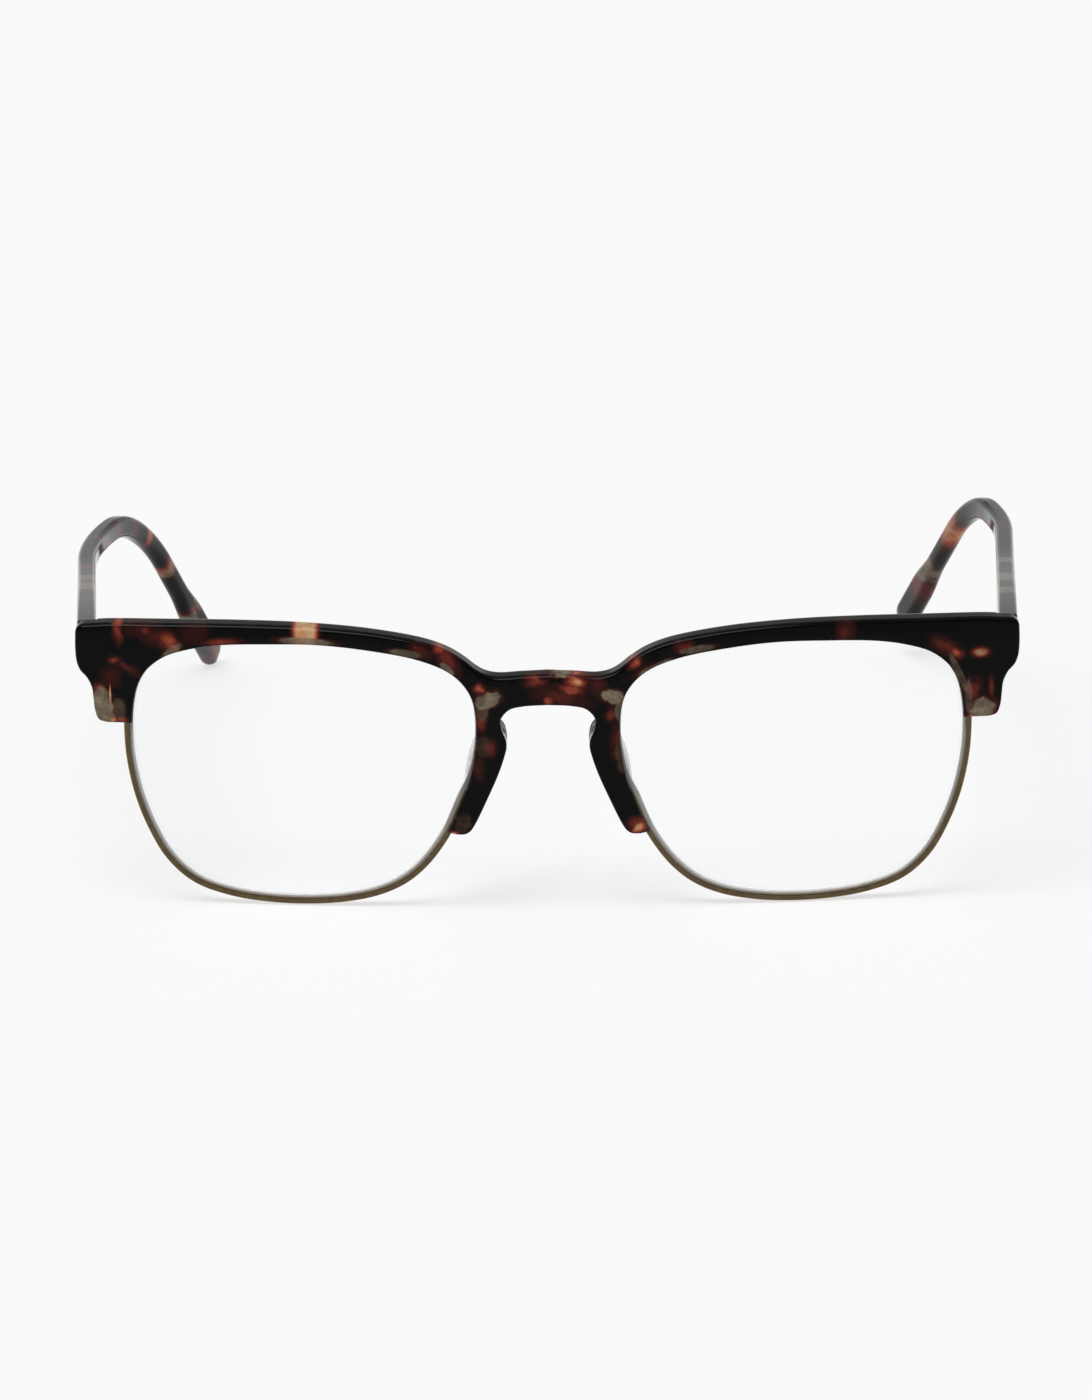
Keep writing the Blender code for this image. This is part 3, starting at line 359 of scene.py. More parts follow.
def lofted(rings, name, matrix=Matrix.Identity(4)):
    bm = bmesh.new()
    extrudeAlong(bm, rings)
    return pieceFrom(bm, name, matrix)


def turned(profile, name, matrix):
    # a lathe's piece, from its radii and heights
    turns = [2 * math.pi * i / screw["sides"] for i in range(screw["sides"])]
    rings = []
    for radius, height in profile:
        rings.append([(radius * math.cos(t), radius * math.sin(t), height) for t in turns])
    return lofted(rings, name, matrix)


def box(low, high, name, matrix):
    middle = (Vector(low) + Vector(high)) / 2
    size = Vector(high) - Vector(low)
    place = Matrix.Translation(middle) @ Matrix.Diagonal((*size, 1.0))
    bm = bmesh.new()
    bmesh.ops.create_cube(bm, size=1.0, matrix=place)
    return pieceFrom(bm, name, matrix)


def sweptRings(section, places, side):
    rings = []
    for place in places:
        points = [(lensEdge(place, outward), along) for outward, along in section]
        spots = [wrapped(p.x, p.y, lens["depth"] + along) for p, along in points]
        rings.append(mirrored(spots, side))
    return rings


# Materials

class Value:
    # a socket that takes part in sums
    def __init__(self, finish, socket):
        self.finish = finish
        self.socket = socket

    def sum(self, operation, first, second):
        return self.finish.node("ShaderNodeMath", {"operation": operation}, {0: first, 1: second})

    def __add__(self, other):
        return self.sum("ADD", self, other)

    def __sub__(self, other):
        return self.sum("SUBTRACT", self, other)

    def __rsub__(self, other):
        return self.sum("SUBTRACT", other, self)

    def __mul__(self, other):
        return self.sum("MULTIPLY", self, other)

    def __or__(self, other):  # the larger of two masks, where an empty one gives the other
        return self.sum("MAXIMUM", self, other) if self.socket else other

    __radd__ = __add__
    __rmul__ = __mul__


class Finish:
    # one material and the method that adds its nodes
    def __init__(self, name):
        self.material = bpy.data.materials.new(name)
        self.material.use_nodes = True
        self.tree = self.material.node_tree
        self.shader = self.tree.nodes["Principled BSDF"]

    def node(self, kind, settings=None, sockets=None, output=0):
        made = self.tree.nodes.new(kind)
        for name, value in (settings or {}).items():
            if name == "stops":
                ramp = made.color_ramp.elements
                while len(ramp) < len(value):
                    ramp.new(0.5)
                for element, (position, colour) in zip(ramp, value):
                    element.position = position
                    element.color = (*colour, 1.0)
            else:
                setattr(made, name, value)
        for name, value in (sockets or {}).items():
            self.join(made.inputs[name], value)
        return Value(self, made.outputs[output])

    def join(self, socket, value):
        if isinstance(value, Value):
            self.tree.links.new(value.socket, socket)
        elif socket.type == "RGBA" and len(value) == 3:
            socket.default_value = (*value, 1.0)
        else:
            socket.default_value = value

    def set(self, **sockets):
        for name, value in sockets.items():
            self.join(self.shader.inputs[name.replace("_", " ")], value)

    def mix(self, factor, first, second):
        sockets = {0: factor, 6: first, 7: second}
        return self.node("ShaderNodeMix", {"data_type": "RGBA"}, sockets, 2)

    def vector(self, operation, sockets, output=0):
        return self.node("ShaderNodeVectorMath", {"operation": operation}, sockets, output)

    def bump(self, height, strength, distance):
        sockets = {"Strength": strength, "Distance": distance, "Height": height}
        return self.node("ShaderNodeBump", {}, sockets)

    def noise(self, vector, scale, detail=2.0, roughness=0.5, output=0):
        sockets = {"Vector": vector, "Scale": scale, "Detail": detail, "Roughness": roughness}
        return self.node("ShaderNodeTexNoise", {}, sockets, output)

    def span(self, value, low, high, top=1.0):
        # 0 at low and top at high, eased
        sockets = {"Value": value, "From Min": low, "From Max": high, "To Max": top}
        return self.node("ShaderNodeMapRange", {"interpolation_type": "SMOOTHSTEP"}, sockets)

    def place(self):
        # the piece's own coordinates, in millimetres
        where = self.node("ShaderNodeTexCoord", output="Object")
        return self.vector("SCALE", {0: where, "Scale": 1000.0})

    def shifted(self, vector, amount, scale, detail=2.0, roughness=0.55):
        # the vector pushed about by noise, for edges that wander
        push = self.noise(vector, scale, detail, roughness, "Color")
        push = self.vector("SUBTRACT", {0: push, 1: (0.5, 0.5, 0.5)})
        push = self.vector("SCALE", {0: push, "Scale": amount})
        return self.vector("ADD", {0: vector, 1: push})


tortoise = {
    "shades": (
        (0.10, (0.0019, 0.0016, 0.0015)), (0.36, (0.027, 0.0052, 0.0042)),
        (0.55, (0.098, 0.0150, 0.0098)), (0.74, (0.260, 0.052, 0.024)),
        (0.89, (0.420, 0.165, 0.072)), (1.0, (0.450, 0.300, 0.165)),
    ),
    "khakis": ((0.105, 0.087, 0.057), (0.190, 0.160, 0.108)),
    "fades": {  # where a patch begins and where it is full, in half sizes from its middle
        "warm": (1.75, 0.10),
        "khaki": (1.25, 0.85),
        "bar": (1.4, 0.55),
        "line": (1.3, 0.6),
    },
    "halo": 0.50,  # the red glow round a khaki patch
    "haloLeast": 0.4,  # its share round the faintest
    "haloFade": (2.0, 0.9),
    "straight": ("bar", "line"),  # kinds that keep straight edges
    "thin": 0.85,  # narrower patches keep them too
    "wanders": ((1.7, 0.30), (1.02, 0.90)),  # how far the edges stray, and that noise's scale
    "through": 1e6,  # the patches' half size in depth
    # A noise is given as its scale, detail and roughness, and a fade as its two ends and its
    # top, if that isn't 1. Other pairs are the least value and what the noise adds to it.
    "mottle": (0.12, 3.0, 0.6),
    "mottleFade": (0.58, 0.80, 0.34),
    "grain": (0.70, 3.0, 0.55),
    "grainFade": (0.35, 0.70),
    "warmth": (0.72, 0.5),
    "khakiness": (0.70, 0.5),
    "smear": (1.6, 5.0, 0.65),
    "roughness": (0.06, 0.05),
    "ripple": (0.35, 2.0, 0.5),
    "rippleBump": (0.04, 0.00004),  # strength and distance
    "ior": 1.47,
    # the axis across each piece, what sets its noise apart, and its specular level
    "front": (0, 3.0, 0.075),
    "right": (1, 11.0, 0.12),
    "left": (1, 23.0, 0.12),
}

# Patches of the front, in millimetres: kind, strength, x and z of the middle, half width, half
# height, turn.
frontPatches = (
    # end piece and lug on the right side
    ("warm", 0.90, -63.8, 43.2, 1.1, 0.9, 0), ("warm", 0.62, -63.8, 41.6, 1.0, 1.9, 0),
    ("warm", 0.38, -60.2, 42.3, 3.4, 1.2, 0), ("warm", 0.60, -59.6, 41.9, 0.9, 0.8, 0),
    ("warm", 0.76, -56.2, 40.2, 1.9, 1.5, -35), ("khaki", 0.55, -55.7, 39.0, 1.6, 0.6, 38),
    ("warm", 0.42, -57.8, 40.9, 2.8, 1.5, -25), ("warm", 0.33, -52.4, 41.7, 2.6, 1.9, 0),
    ("warm", 0.66, -48.3, 40.5, 3.2, 0.7, 3), ("warm", 0.62, -64.3, 37.4, 1.1, 0.6, 10),
    ("warm", 0.44, -62.6, 36.4, 2.9, 0.9, -30), ("warm", 0.38, -65.0, 34.8, 1.8, 1.8, 0),
    ("khaki", 0.95, -66.3, 30.4, 1.5, 2.6, 10), ("warm", 0.66, -66.4, 33.0, 1.3, 0.8, -25),
    ("khaki", 0.24, -63.7, 30.0, 0.9, 1.5, 0), ("warm", 0.98, -64.7, 28.5, 0.9, 0.6, 0),
    ("warm", 0.72, -63.4, 28.5, 1.2, 0.6, 0), ("line", 1.0, -65.0, 31.5, 0.17, 2.6, 0),
    # brow over the right lens
    ("bar", 1.0, -35.9, 42.8, 2.0, 6.0, 0), ("khaki", 0.75, -35.8, 40.8, 3.6, 0.6, -3),
    ("warm", 0.34, -44.0, 43.6, 1.6, 0.7, 0), ("khaki", 0.50, -21.2, 39.3, 2.2, 0.5, -8),
    ("warm", 0.46, -19.0, 39.6, 2.0, 1.1, -10),
    # right nose corner and arm
    ("warm", 0.70, -16.1, 40.1, 1.3, 1.2, 0), ("warm", 0.56, -14.9, 38.4, 2.6, 1.4, -52),
    ("khaki", 0.62, -15.0, 37.0, 1.2, 0.5, -42), ("warm", 0.74, -10.3, 34.0, 1.0, 0.9, 0),
    ("khaki", 0.85, -9.0, 32.4, 1.7, 1.1, 28), ("khaki", 0.25, -9.9, 30.6, 0.8, 1.3, 0),
    ("warm", 0.56, -10.1, 28.9, 1.0, 1.6, 0), ("khaki", 0.12, -9.8, 25.2, 1.0, 1.4, 0),
    ("warm", 0.52, -8.7, 25.2, 0.9, 1.4, 0), ("warm", 0.40, -10.3, 22.1, 1.0, 2.0, 0),
    ("khaki", 0.10, -13.0, 13.4, 0.9, 1.6, -25), ("warm", 0.95, -14.2, 11.8, 0.9, 0.6, 0),
    # bridge
    ("warm", 0.62, -2.0, 35.1, 1.9, 1.2, 0), ("khaki", 0.90, 2.5, 36.9, 2.3, 0.9, 0),
    ("warm", 0.90, 4.0, 35.1, 2.0, 1.0, -15), ("warm", 0.74, 3.3, 33.9, 2.2, 0.9, -15),
    ("warm", 0.44, 1.9, 32.6, 4.8, 1.8, -8), ("warm", 0.72, -0.2, 32.0, 0.9, 0.9, 0),
    ("warm", 0.62, 5.3, 36.2, 1.5, 0.7, 0), ("warm", 0.42, 7.2, 34.4, 1.9, 1.4, -30),
    ("warm", 0.46, -2.2, 37.3, 2.0, 0.6, 0),
    # left nose corner and arm
    ("khaki", 0.85, 9.6, 32.6, 1.7, 1.0, -20), ("khaki", 0.42, 10.4, 30.6, 0.7, 1.4, 0),
    ("warm", 0.58, 9.0, 30.0, 1.0, 1.2, 0), ("warm", 0.74, 12.7, 37.7, 1.3, 1.0, 20),
    ("khaki", 0.60, 15.6, 37.0, 2.6, 0.45, 25), ("warm", 0.50, 14.4, 36.6, 2.4, 0.8, 25),
    ("warm", 0.54, 20.0, 40.0, 1.5, 1.0, 12), ("khaki", 0.45, 21.8, 39.6, 2.4, 0.5, 8),
    ("warm", 0.48, 10.0, 26.6, 1.2, 2.0, 0), ("khaki", 0.16, 10.5, 24.5, 0.8, 1.5, 0),
    ("warm", 0.46, 10.1, 24.0, 0.9, 1.6, 0), ("khaki", 0.18, 10.8, 22.4, 0.7, 1.1, 0),
    ("warm", 0.95, 13.4, 12.6, 1.4, 0.9, 10), ("warm", 0.62, 12.9, 13.4, 1.9, 1.1, 0),
    # left brow, end piece and lug
    ("warm", 0.46, 43.8, 41.5, 1.5, 2.2, 0), ("warm", 0.76, 60.2, 37.9, 1.3, 0.9, -15),
    ("warm", 0.50, 58.7, 38.7, 2.9, 1.4, -25), ("warm", 0.95, 63.9, 37.7, 1.4, 0.8, 0),
    ("khaki", 0.55, 63.9, 37.7, 0.8, 0.45, 0),
    ("khaki", 0.30, 60.7, 34.6, 0.5, 3.2, 25), ("warm", 0.54, 62.8, 32.0, 1.7, 2.0, 0),
    ("warm", 0.56, 65.5, 32.4, 0.5, 1.8, 0), ("khaki", 1.00, 64.2, 29.3, 1.7, 1.4, 10),
    ("warm", 0.95, 63.0, 28.1, 1.3, 0.5, 0), ("warm", 0.66, 65.4, 28.7, 1.1, 0.9, 0),
    ("khaki", 0.35, 62.1, 31.2, 0.5, 2.4, 0),
)
# Bands and patches of the temples, in millimetres: kind, strength, y and z of the middle, half
# length, half height, turn. Those on the bent tails lie square to them.
rightTemplePatches = (
    ("warm", 0.80, -52.0, 35.4, 2.0, 2.4, 10), ("warm", 0.50, -42.0, 37.5, 1.8, 7.0, 8),
    ("khaki", 0.60, -30.0, 37.0, 3.4, 7.0, -10), ("khaki", 0.70, -21.5, 36.5, 2.2, 7.0, 12),
    ("warm", 0.55, -11.0, 36.0, 2.6, 7.0, 0), ("khaki", 0.80, -5.5, 33.8, 2.4, 1.7, 10),
    ("warm", 0.86, 4.0, 33.4, 2.2, 1.5, 0), ("warm", 0.48, 13.0, 34.5, 2.6, 4.0, 0),
    ("warm", 0.84, 20.0, 32.4, 2.2, 1.3, 0), ("warm", 0.54, 27.0, 33.0, 3.0, 4.0, -20),
    ("warm", 0.50, 36.0, 31.6, 2.4, 3.0, -30), ("warm", 0.88, 42.6, 28.6, 1.8, 2.0, -30),
    ("warm", 0.92, 50.2, 22.2, 1.8, 4.0, -30), ("khaki", 0.60, 50.5, 22.0, 0.9, 4.0, -30),
    ("warm", 0.66, 57.0, 11.9, 1.6, 1.6, -45), ("khaki", 0.90, 59.0, 13.6, 2.2, 1.5, -45),
    ("khaki", 0.80, 57.2, 10.6, 1.2, 1.0, -45), ("warm", 0.70, 65.8, 3.2, 3.4, 3.4, -45),
    ("khaki", 0.80, 68.6, 3.6, 1.0, 1.8, -45),
)
leftTemplePatches = (
    ("warm", 0.84, -52.0, 35.6, 2.0, 2.2, -12), ("khaki", 0.60, -42.0, 37.6, 2.6, 7.0, 0),
    ("khaki", 0.70, -29.5, 37.2, 3.2, 7.0, 8), ("warm", 0.82, -22.0, 34.4, 2.4, 1.8, 0),
    ("khaki", 0.60, -14.2, 36.6, 2.0, 7.0, 14), ("khaki", 0.85, -4.0, 34.4, 2.2, 1.6, -8),
    ("warm", 0.86, 6.0, 34.0, 2.4, 1.4, 0), ("warm", 0.42, 13.0, 35.4, 1.4, 5.0, 0),
    ("warm", 0.84, 22.0, 33.4, 2.2, 1.3, 0), ("warm", 0.48, 33.0, 33.4, 2.2, 3.4, -20),
    ("warm", 0.92, 48.4, 27.6, 5.0, 6.0, -40), ("khaki", 0.30, 48.0, 28.0, 4.4, 1.4, -40),
    ("khaki", 0.72, 58.2, 18.4, 3.4, 2.2, -40), ("warm", 0.58, 61.0, 15.0, 4.4, 4.0, -40),
    ("khaki", 0.85, 70.8, 7.6, 1.6, 2.4, -40),
)


def varied(noise, least, share):
    return least + noise * share


def tortoiseAcetate(name, patches, across, salt, specular):
    # soft-edged patches, glowing red round their edges, through the whole thickness
    finish = Finish(name)
    place = finish.place()
    salted = finish.vector("ADD", {0: place, 1: (salt, salt, salt)})
    drift = place
    for amount, scale in tortoise["wanders"]:
        drift = finish.shifted(drift, amount, scale)
    warm, khaki = Value(finish, None), Value(finish, None)
    for kind, strength, x, z, halfX, halfZ, turn in patches:
        spot, angle, size = [0.0] * 3, [0.0] * 3, [tortoise["through"]] * 3
        spot[across], spot[2] = x, z
        size[across], size[2] = halfX, halfZ
        angle[1 - across] = math.radians(-turn if across == 0 else turn)
        straight = kind in tortoise["straight"] or min(halfX, halfZ) < tortoise["thin"]
        sockets = {"Vector": place if straight else drift}
        sockets.update({"Location": spot, "Rotation": angle, "Scale": size})
        local = finish.node("ShaderNodeMapping", {"vector_type": "TEXTURE"}, sockets)
        far = finish.vector("LENGTH", {0: local}, "Value")
        patch = finish.span(far, *tortoise["fades"][kind], strength)
        if kind == "khaki":
            khaki = khaki | patch
            share = tortoise["haloLeast"] + (1 - tortoise["haloLeast"]) * strength
            patch = finish.span(far, *tortoise["haloFade"], tortoise["halo"] * share)
        warm = warm | patch
    mottle = finish.noise(salted, *tortoise["mottle"])
    grain = finish.noise(salted, *tortoise["grain"])
    warm = warm | finish.span(mottle, *tortoise["mottleFade"])
    warm = warm * varied(grain, *tortoise["warmth"])
    colour = finish.node("ShaderNodeValToRGB", {"stops": tortoise["shades"]}, {0: warm})
    pale = finish.mix(finish.span(grain, *tortoise["grainFade"]), *tortoise["khakis"])
    colour = finish.mix(khaki * varied(grain, *tortoise["khakiness"]), colour, pale)
    polish = varied(finish.noise(place, *tortoise["smear"]), *tortoise["roughness"])
    bump = finish.bump(finish.noise(place, *tortoise["ripple"]), *tortoise["rippleBump"])
    finish.set(Base_Color=colour, Roughness=polish, Normal=bump)
    finish.set(IOR=tortoise["ior"], Specular_IOR_Level=specular)
    return finish.material


metals = {
    "antiqueGold": {
        "colour": (0.40, 0.28, 0.125),
        "dark": (0.26, 0.19, 0.095),
        "paintedShade": (0.092, 0.067, 0.040),  # painted shade, on the faces that look forward or back, standing in for the dark surroundings that they reflect
        "roughness": (0.20, 0.10),
    },
    "nickelSilver": {
        "colour": (0.68, 0.65, 0.60),
        "dark": (0.42, 0.40, 0.37),
        # painted shade, on the faces that look forward or back
        "paintedShade": (0.50, 0.48, 0.44),
        "roughness": (0.20, 0.12),
    },
}
wearAndShade = {  # of the metals, given as the tortoise's noises are; the last two set the painted shade on faces that look forward or back
    "cloud": (0.9, 4.0, 0.6),
    "cloudFade": (0.35, 0.75, 0.55),
    "fine": (6.0, 4.0, 0.7),
    "fineBump": (0.08, 0.00001),
    "facingFade": (0.60, 0.92),
    "paintedShade": (0.75, 0.4),
}


def metal(name):
    # lighter where it is rounded, and darker on the flats that face forward or back: painted
    # reflection and painted shade, standing in for the dark surroundings that those flats reflect
    look = metals[name]
    finish = Finish(name)
    place = finish.place()
    cloud = finish.noise(place, *wearAndShade["cloud"])
    fine = finish.noise(place, *wearAndShade["fine"])
    facing = finish.node("ShaderNodeTexCoord", output="Normal")
    facing = finish.node("ShaderNodeSeparateXYZ", {}, {0: facing}, "Y")
    facing = finish.node("ShaderNodeMath", {"operation": "ABSOLUTE"}, {0: facing})
    shade = finish.mix(finish.span(cloud, *wearAndShade["cloudFade"]), look["colour"], look["dark"])
    # painted shade: the base colour darkens on faces that look forward or back
    paintedShadeMask = finish.span(facing, *wearAndShade["facingFade"]) * varied(cloud, *wearAndShade["paintedShade"])
    shade = finish.mix(paintedShadeMask, shade, look["paintedShade"])
    finish.set(Base_Color=shade, Metallic=1.0, Roughness=varied(fine, *look["roughness"]))
    finish.set(Normal=finish.bump(fine, *wearAndShade["fineBump"]))
    return finish.material


glass = {
    "lensColour": (0.985, 0.99, 0.995),
    "lensSmear": (0.12, 3.0, 0.6),
    "lensRoughness": 0.012,
    "lensIor": 1.498,
    "groundColours": ((0.50, 0.51, 0.51), (0.62, 0.62, 0.61)),
    "groundCloud": (1.2, 3.0, 0.6),
    "groundRoughness": (0.45, 0.15),
    "padColours": ((0.80, 0.72, 0.72), (0.90, 0.86, 0.85)),
    "padCloud": (0.25, 2.0, 0.5),
    "padRoughness": (0.12, 0.10),
    "padIor": 1.47,
    "padClearness": 0.75,
}


def clearGlass():
    finish = Finish("clearLens")
    smear = finish.noise(finish.place(), *glass["lensSmear"])
    finish.set(Base_Color=glass["lensColour"], Roughness=smear * glass["lensRoughness"])
    finish.set(IOR=glass["lensIor"], Transmission_Weight=1.0)
    return finish.material


def groundGlass():
    finish = Finish("groundBevel")
    cloud = finish.noise(finish.place(), *glass["groundCloud"])
    finish.set(Base_Color=finish.mix(cloud, *glass["groundColours"]))
    finish.set(Roughness=varied(cloud, *glass["groundRoughness"]))
    return finish.material


def crystal():
    finish = Finish("crystalPad")
    cloud = finish.noise(finish.place(), *glass["padCloud"])
    finish.set(Base_Color=finish.mix(cloud, *glass["padColours"]))
    finish.set(Roughness=varied(cloud, *glass["padRoughness"]))
    finish.set(IOR=glass["padIor"], Transmission_Weight=glass["padClearness"])
    return finish.material


frontAcetate = tortoiseAcetate("tortoiseFront", frontPatches, *tortoise["front"])
templeAcetate = {
    "right": tortoiseAcetate("tortoiseRightTemple", rightTemplePatches, *tortoise["right"]),
    "left": tortoiseAcetate("tortoiseLeftTemple", leftTemplePatches, *tortoise["left"]),
}
antiqueGold = metal("antiqueGold")
nickelSilver = metal("nickelSilver")
lensGlass = clearGlass()
groundBevel = groundGlass()
padCrystal = crystal()
print("materials made")


# Front

def frontOutline():
    # half the flat front, from the middle of the bridge over the brow and back under the bridge
    half, steps = lens["bridge"] / 2, front["steps"]
    drop, reach, depth = front["bridgeDrop"], front["endReach"], front["endDepth"]
    top = [(x * half, browTop - z * drop) for x, z in front["bridgeTop"]]
    top += [(lensIn + x * lens["width"], browTop - z * drop) for x, z in front["browTop"]]
    top += [(lensOut + x * reach, browTop - z * depth) for x, z in front["endPiece"]]
    nose = [(x * half, lensLow + z * lens["height"]) for x, z in front["noseArm"]]
    outline = smoothLine(top, steps)
    around = len(lens["edge"])
    mouth = math.ceil(placeAtHeight(lugLow) * steps)
    count = mouth + math.floor((around - front["armFoot"]) * steps)
    places = [(mouth - i) / steps for i in range(count + 1)]
    foot = lensEdge(front["armFoot"], -front["armLip"])
    opening, pushes = [], []
    for place in places:
        lip = lipAt(place + around)
        spot = lensEdge(place, -lip)
        inLug = spot.y < lugLow + front["cornerClear"] * front["round"] and spot.x > lensX
        if not inLug and (spot - foot).length > front["footClear"] * front["round"]:
            opening.append(spot)
            pushes.append((lensEdge(place, 1.0) - lensEdge(place)) * (lip + front["seat"]))
    corner = Vector((opening[0].x, lugLow))
    outline += [corner] + opening + [foot] + smoothLine(nose, steps)
    return outline, list(zip([corner] + opening, [pushes[0]] + pushes))


def lipAt(place):
    # the acetate over the lens edge, narrow at an arm's foot and full further up
    grown = eased((place - front["lipNarrow"]) / (front["lipFull"] - front["lipNarrow"]))
    return front["armLip"] + (front["lip"] - front["armLip"]) * grown


def clamped(value):
    return min(max(value, 0.0), 1.0)


def eased(value):
    value = clamped(value)
    return value * value * (3 - 2 * value)


def bisect(bm, spot, normal):
    geom = bm.verts[:] + bm.edges[:] + bm.faces[:]
    bmesh.ops.bisect_plane(bm, geom=geom, plane_co=spot, plane_no=normal)


def acetateFront(flush=1e-7, near=1e-5):
    half, grooved = frontOutline()
    whole = half + [Vector((-p.x, p.y)) for p in reversed(half[1:-1])]
    bm = bmesh.new()
    face = bm.faces.new([bm.verts.new((p.x, 0.0, p.y)) for p in whole])
    grown = bmesh.ops.extrude_face_region(bm, geom=[face])
    back = [v for v in grown["geom"] if isinstance(v, bmesh.types.BMVert)]
    bmesh.ops.translate(bm, verts=back, vec=(0.0, front["thickness"], 0.0))
    corners = [e for e in bm.edges if e.verts[0].co.y == e.verts[1].co.y]
    bmesh.ops.bevel(
        bm, geom=corners, offset=front["round"], segments=front["roundSteps"], profile=0.5,
        affect="EDGES", clamp_overlap=False, material=-1,
    )
    mouth = lens["thickness"] / 2 * front["lip"] / lens["bevel"] + front["seat"]
    for step in (-mouth, 0.0, mouth):
        bisect(bm, (0, lens["depth"] + step, 0), (0, 1, 0))
    tree = kdtree.KDTree(2 * len(grooved))
    pushes = []
    for point, push in grooved:
        for side in (-1, 1):
            tree.insert((side * point.x, 0.0, point.y), len(pushes))
            pushes.append(Vector((side * push.x, 0.0, push.y)))
    tree.balance()
    for vert in bm.verts:
        if abs(vert.co.y - lens["depth"]) < flush:
            _, index, away = tree.find((vert.co.x, 0.0, vert.co.z))
            if away < near:
                vert.co += pushes[index]
    columns = round(2 * halfWidth / front["cell"])
    for i in range(1, columns):
        bisect(bm, (halfWidth * (2 * i / columns - 1), 0, 0), (1, 0, 0))
    rows = round(browTop / front["cell"])
    for i in range(1, rows):
        bisect(bm, (0, 0, browTop * i / rows), (0, 0, 1))
    bmesh.ops.triangulate(bm, faces=bm.faces[:])
    for vert in bm.verts:
        vert.co = wrapped(vert.co.x, vert.co.z, vert.co.y)
    return pieceFrom(bm, "tortoise_front")


def rimSlot(side, start, stop):
    half = rim["width"] / 2 + front["seat"]
    inner = -front["lip"] - front["overrun"]
    outer = rim["outer"] + front["seat"]
    section = ((inner, -half), (inner, half), (outer, half), (outer, -half))
    steps = rim["slotSteps"]
    places = [start + (stop - start) * i / steps for i in range(steps + 1)]
    return lofted(sweptRings(section, places, side), "rimSlot")


def rimTab(side, tab, grow=0.0):
    # the tab or, grown, the slot that it lies in
    place, reach, length = tab
    inner = lensEdge(place, -rim["outer"] if grow else 0.0)
    outer = lensEdge(place, reach + grow)
    along = edgeDirection(place)
    halfLength = length / 2 + grow
    halfThick = rim["tabThickness"] / 2 + grow
    rings = []
    for depth in (lens["depth"] - halfThick, lens["depth"] + halfThick):
        corners = [(inner, -1), (outer, -1), (outer, 1), (inner, 1)]
        spots = [start + along * (sign * halfLength) for start, sign in corners]
        rings.append(mirrored([wrapped(s.x, s.y, depth) for s in spots], side))
    return lofted(rings, "rimTab")


def screwPlace(side, tab):
    spot = lensEdge(tab[0], (rim["outer"] + tab[1]) / 2 + screw["gap"])
    place = onFront(spot.x, spot.y, front["thickness"])
    if side < 0:
        flip = Matrix.Scale(-1, 4, (1, 0, 0))
        place = flip @ place @ flip
    return place @ Matrix.Rotation(math.pi / 2, 4, "X")


def screwHole(side, tab):
    gap = screw["gap"]
    wide, narrow = screw["headRadius"] + gap, screw["radius"] + gap
    profile = (
        (wide, -front["overrun"]), (wide, gap),
        (narrow, screw["headHeight"] + gap), (narrow, screw["length"] + gap),
    )
    return turned(profile, "screwHole", screwPlace(side, tab))


def hingePlace(side):
    return Matrix.Translation((side * hingeX, hingeY, hingeZ))


def plateRings(outline, side, low, high):
    return [[(side * x, y, z) for x, y in outline] for z in (low, high)]


def frontLeafOutline(grow=0.0):
    # the leaf with its neck and barrel or, grown, the seat that it lies in
    def back(x, deeper=0.0):
        return (x, wrapSlope * x - hinge["behindFront"] - deeper)

    outer, inner = hinge["leafOuter"] + grow, -hinge["leafInner"] - grow
    if grow:
        over, deep = hinge["behindFront"], hinge["leaf"] + grow
        return [back(outer, -over), back(outer, deep), back(inner, deep), back(inner, -over)]
    neck = math.degrees(math.asin(hinge["neck"] / hinge["barrel"]))
    base = [back(outer), back(outer, hinge["leaf"]), back(inner, hinge["leaf"]), back(inner)]
    return base + [back(-hinge["neck"])] + barrelArc(270 - neck, neck - 90) + [back(hinge["neck"])]


def barrelArc(start, stop, steps=36):
    turns = [math.radians(start + (stop - start) * i / steps) for i in range(steps + 1)]
    return [(hinge["barrel"] * math.cos(t), hinge["barrel"] * math.sin(t)) for t in turns]


def leafSeat(side):
    half = hingeHalf + front["seat"]
    rings = plateRings(frontLeafOutline(front["seat"]), side, -half, half)
    return lofted(rings, "leafSeat", hingePlace(side))


def barrelRelief(side):
    # room behind the end piece for the barrels and the screw's head
    radius = hinge["barrel"] + front["seat"]
    low = -hingeHalf - hinge["pinEnd"] - front["seat"]
    high = hingeHalf + screw["gap"] + hinge["headHeight"] + front["seat"]
    return turned(((radius, low), (radius, high)), "barrelRelief", hingePlace(side))


def milledFlat(side):
    # the flat behind the end piece, where the temple's butt stands
    behind = hinge["behindFront"]
    inner = hinge["insideTemple"] - 2 * front["seat"]
    outer = halfWidth - hingeX + front["overrun"]
    outline = [(x, wrapSlope * x - behind) for x in (inner, outer)]
    outline += [(outer, behind), (inner, behind)]
    low = -temple["butt"] / 2 - front["seat"]
    high = hinge["drop"] + front["overrun"]
    return lofted(plateRings(outline, side, low, high), "milledFlat", hingePlace(side))


acetate = acetateFront()
frontTools = []
for name, side in sides:
    # the seat's play, counted along the lens edge
    near = front["seat"] / (lensEdge(0.5) - lensEdge(-0.5)).length
    frontTools.append(rimSlot(side, rimStart - near, lugSlot))
    frontTools.append(rimSlot(side, rim["armSlot"], rim["end"] + near))
    frontTools += [rimTab(side, tab, front["seat"]) for tab in rimTabs]
    frontTools += [screwHole(side, tab) for tab in rimTabs]
    frontTools += [milledFlat(side), leafSeat(side), barrelRelief(side)]
for tool in frontTools:
    combine(acetate, tool)
dress(acetate, frontAcetate, "front", ["acetate_front"])
print("front:", len(acetate.data.polygons), "faces")


# Lenses, rims, pads and rim screws

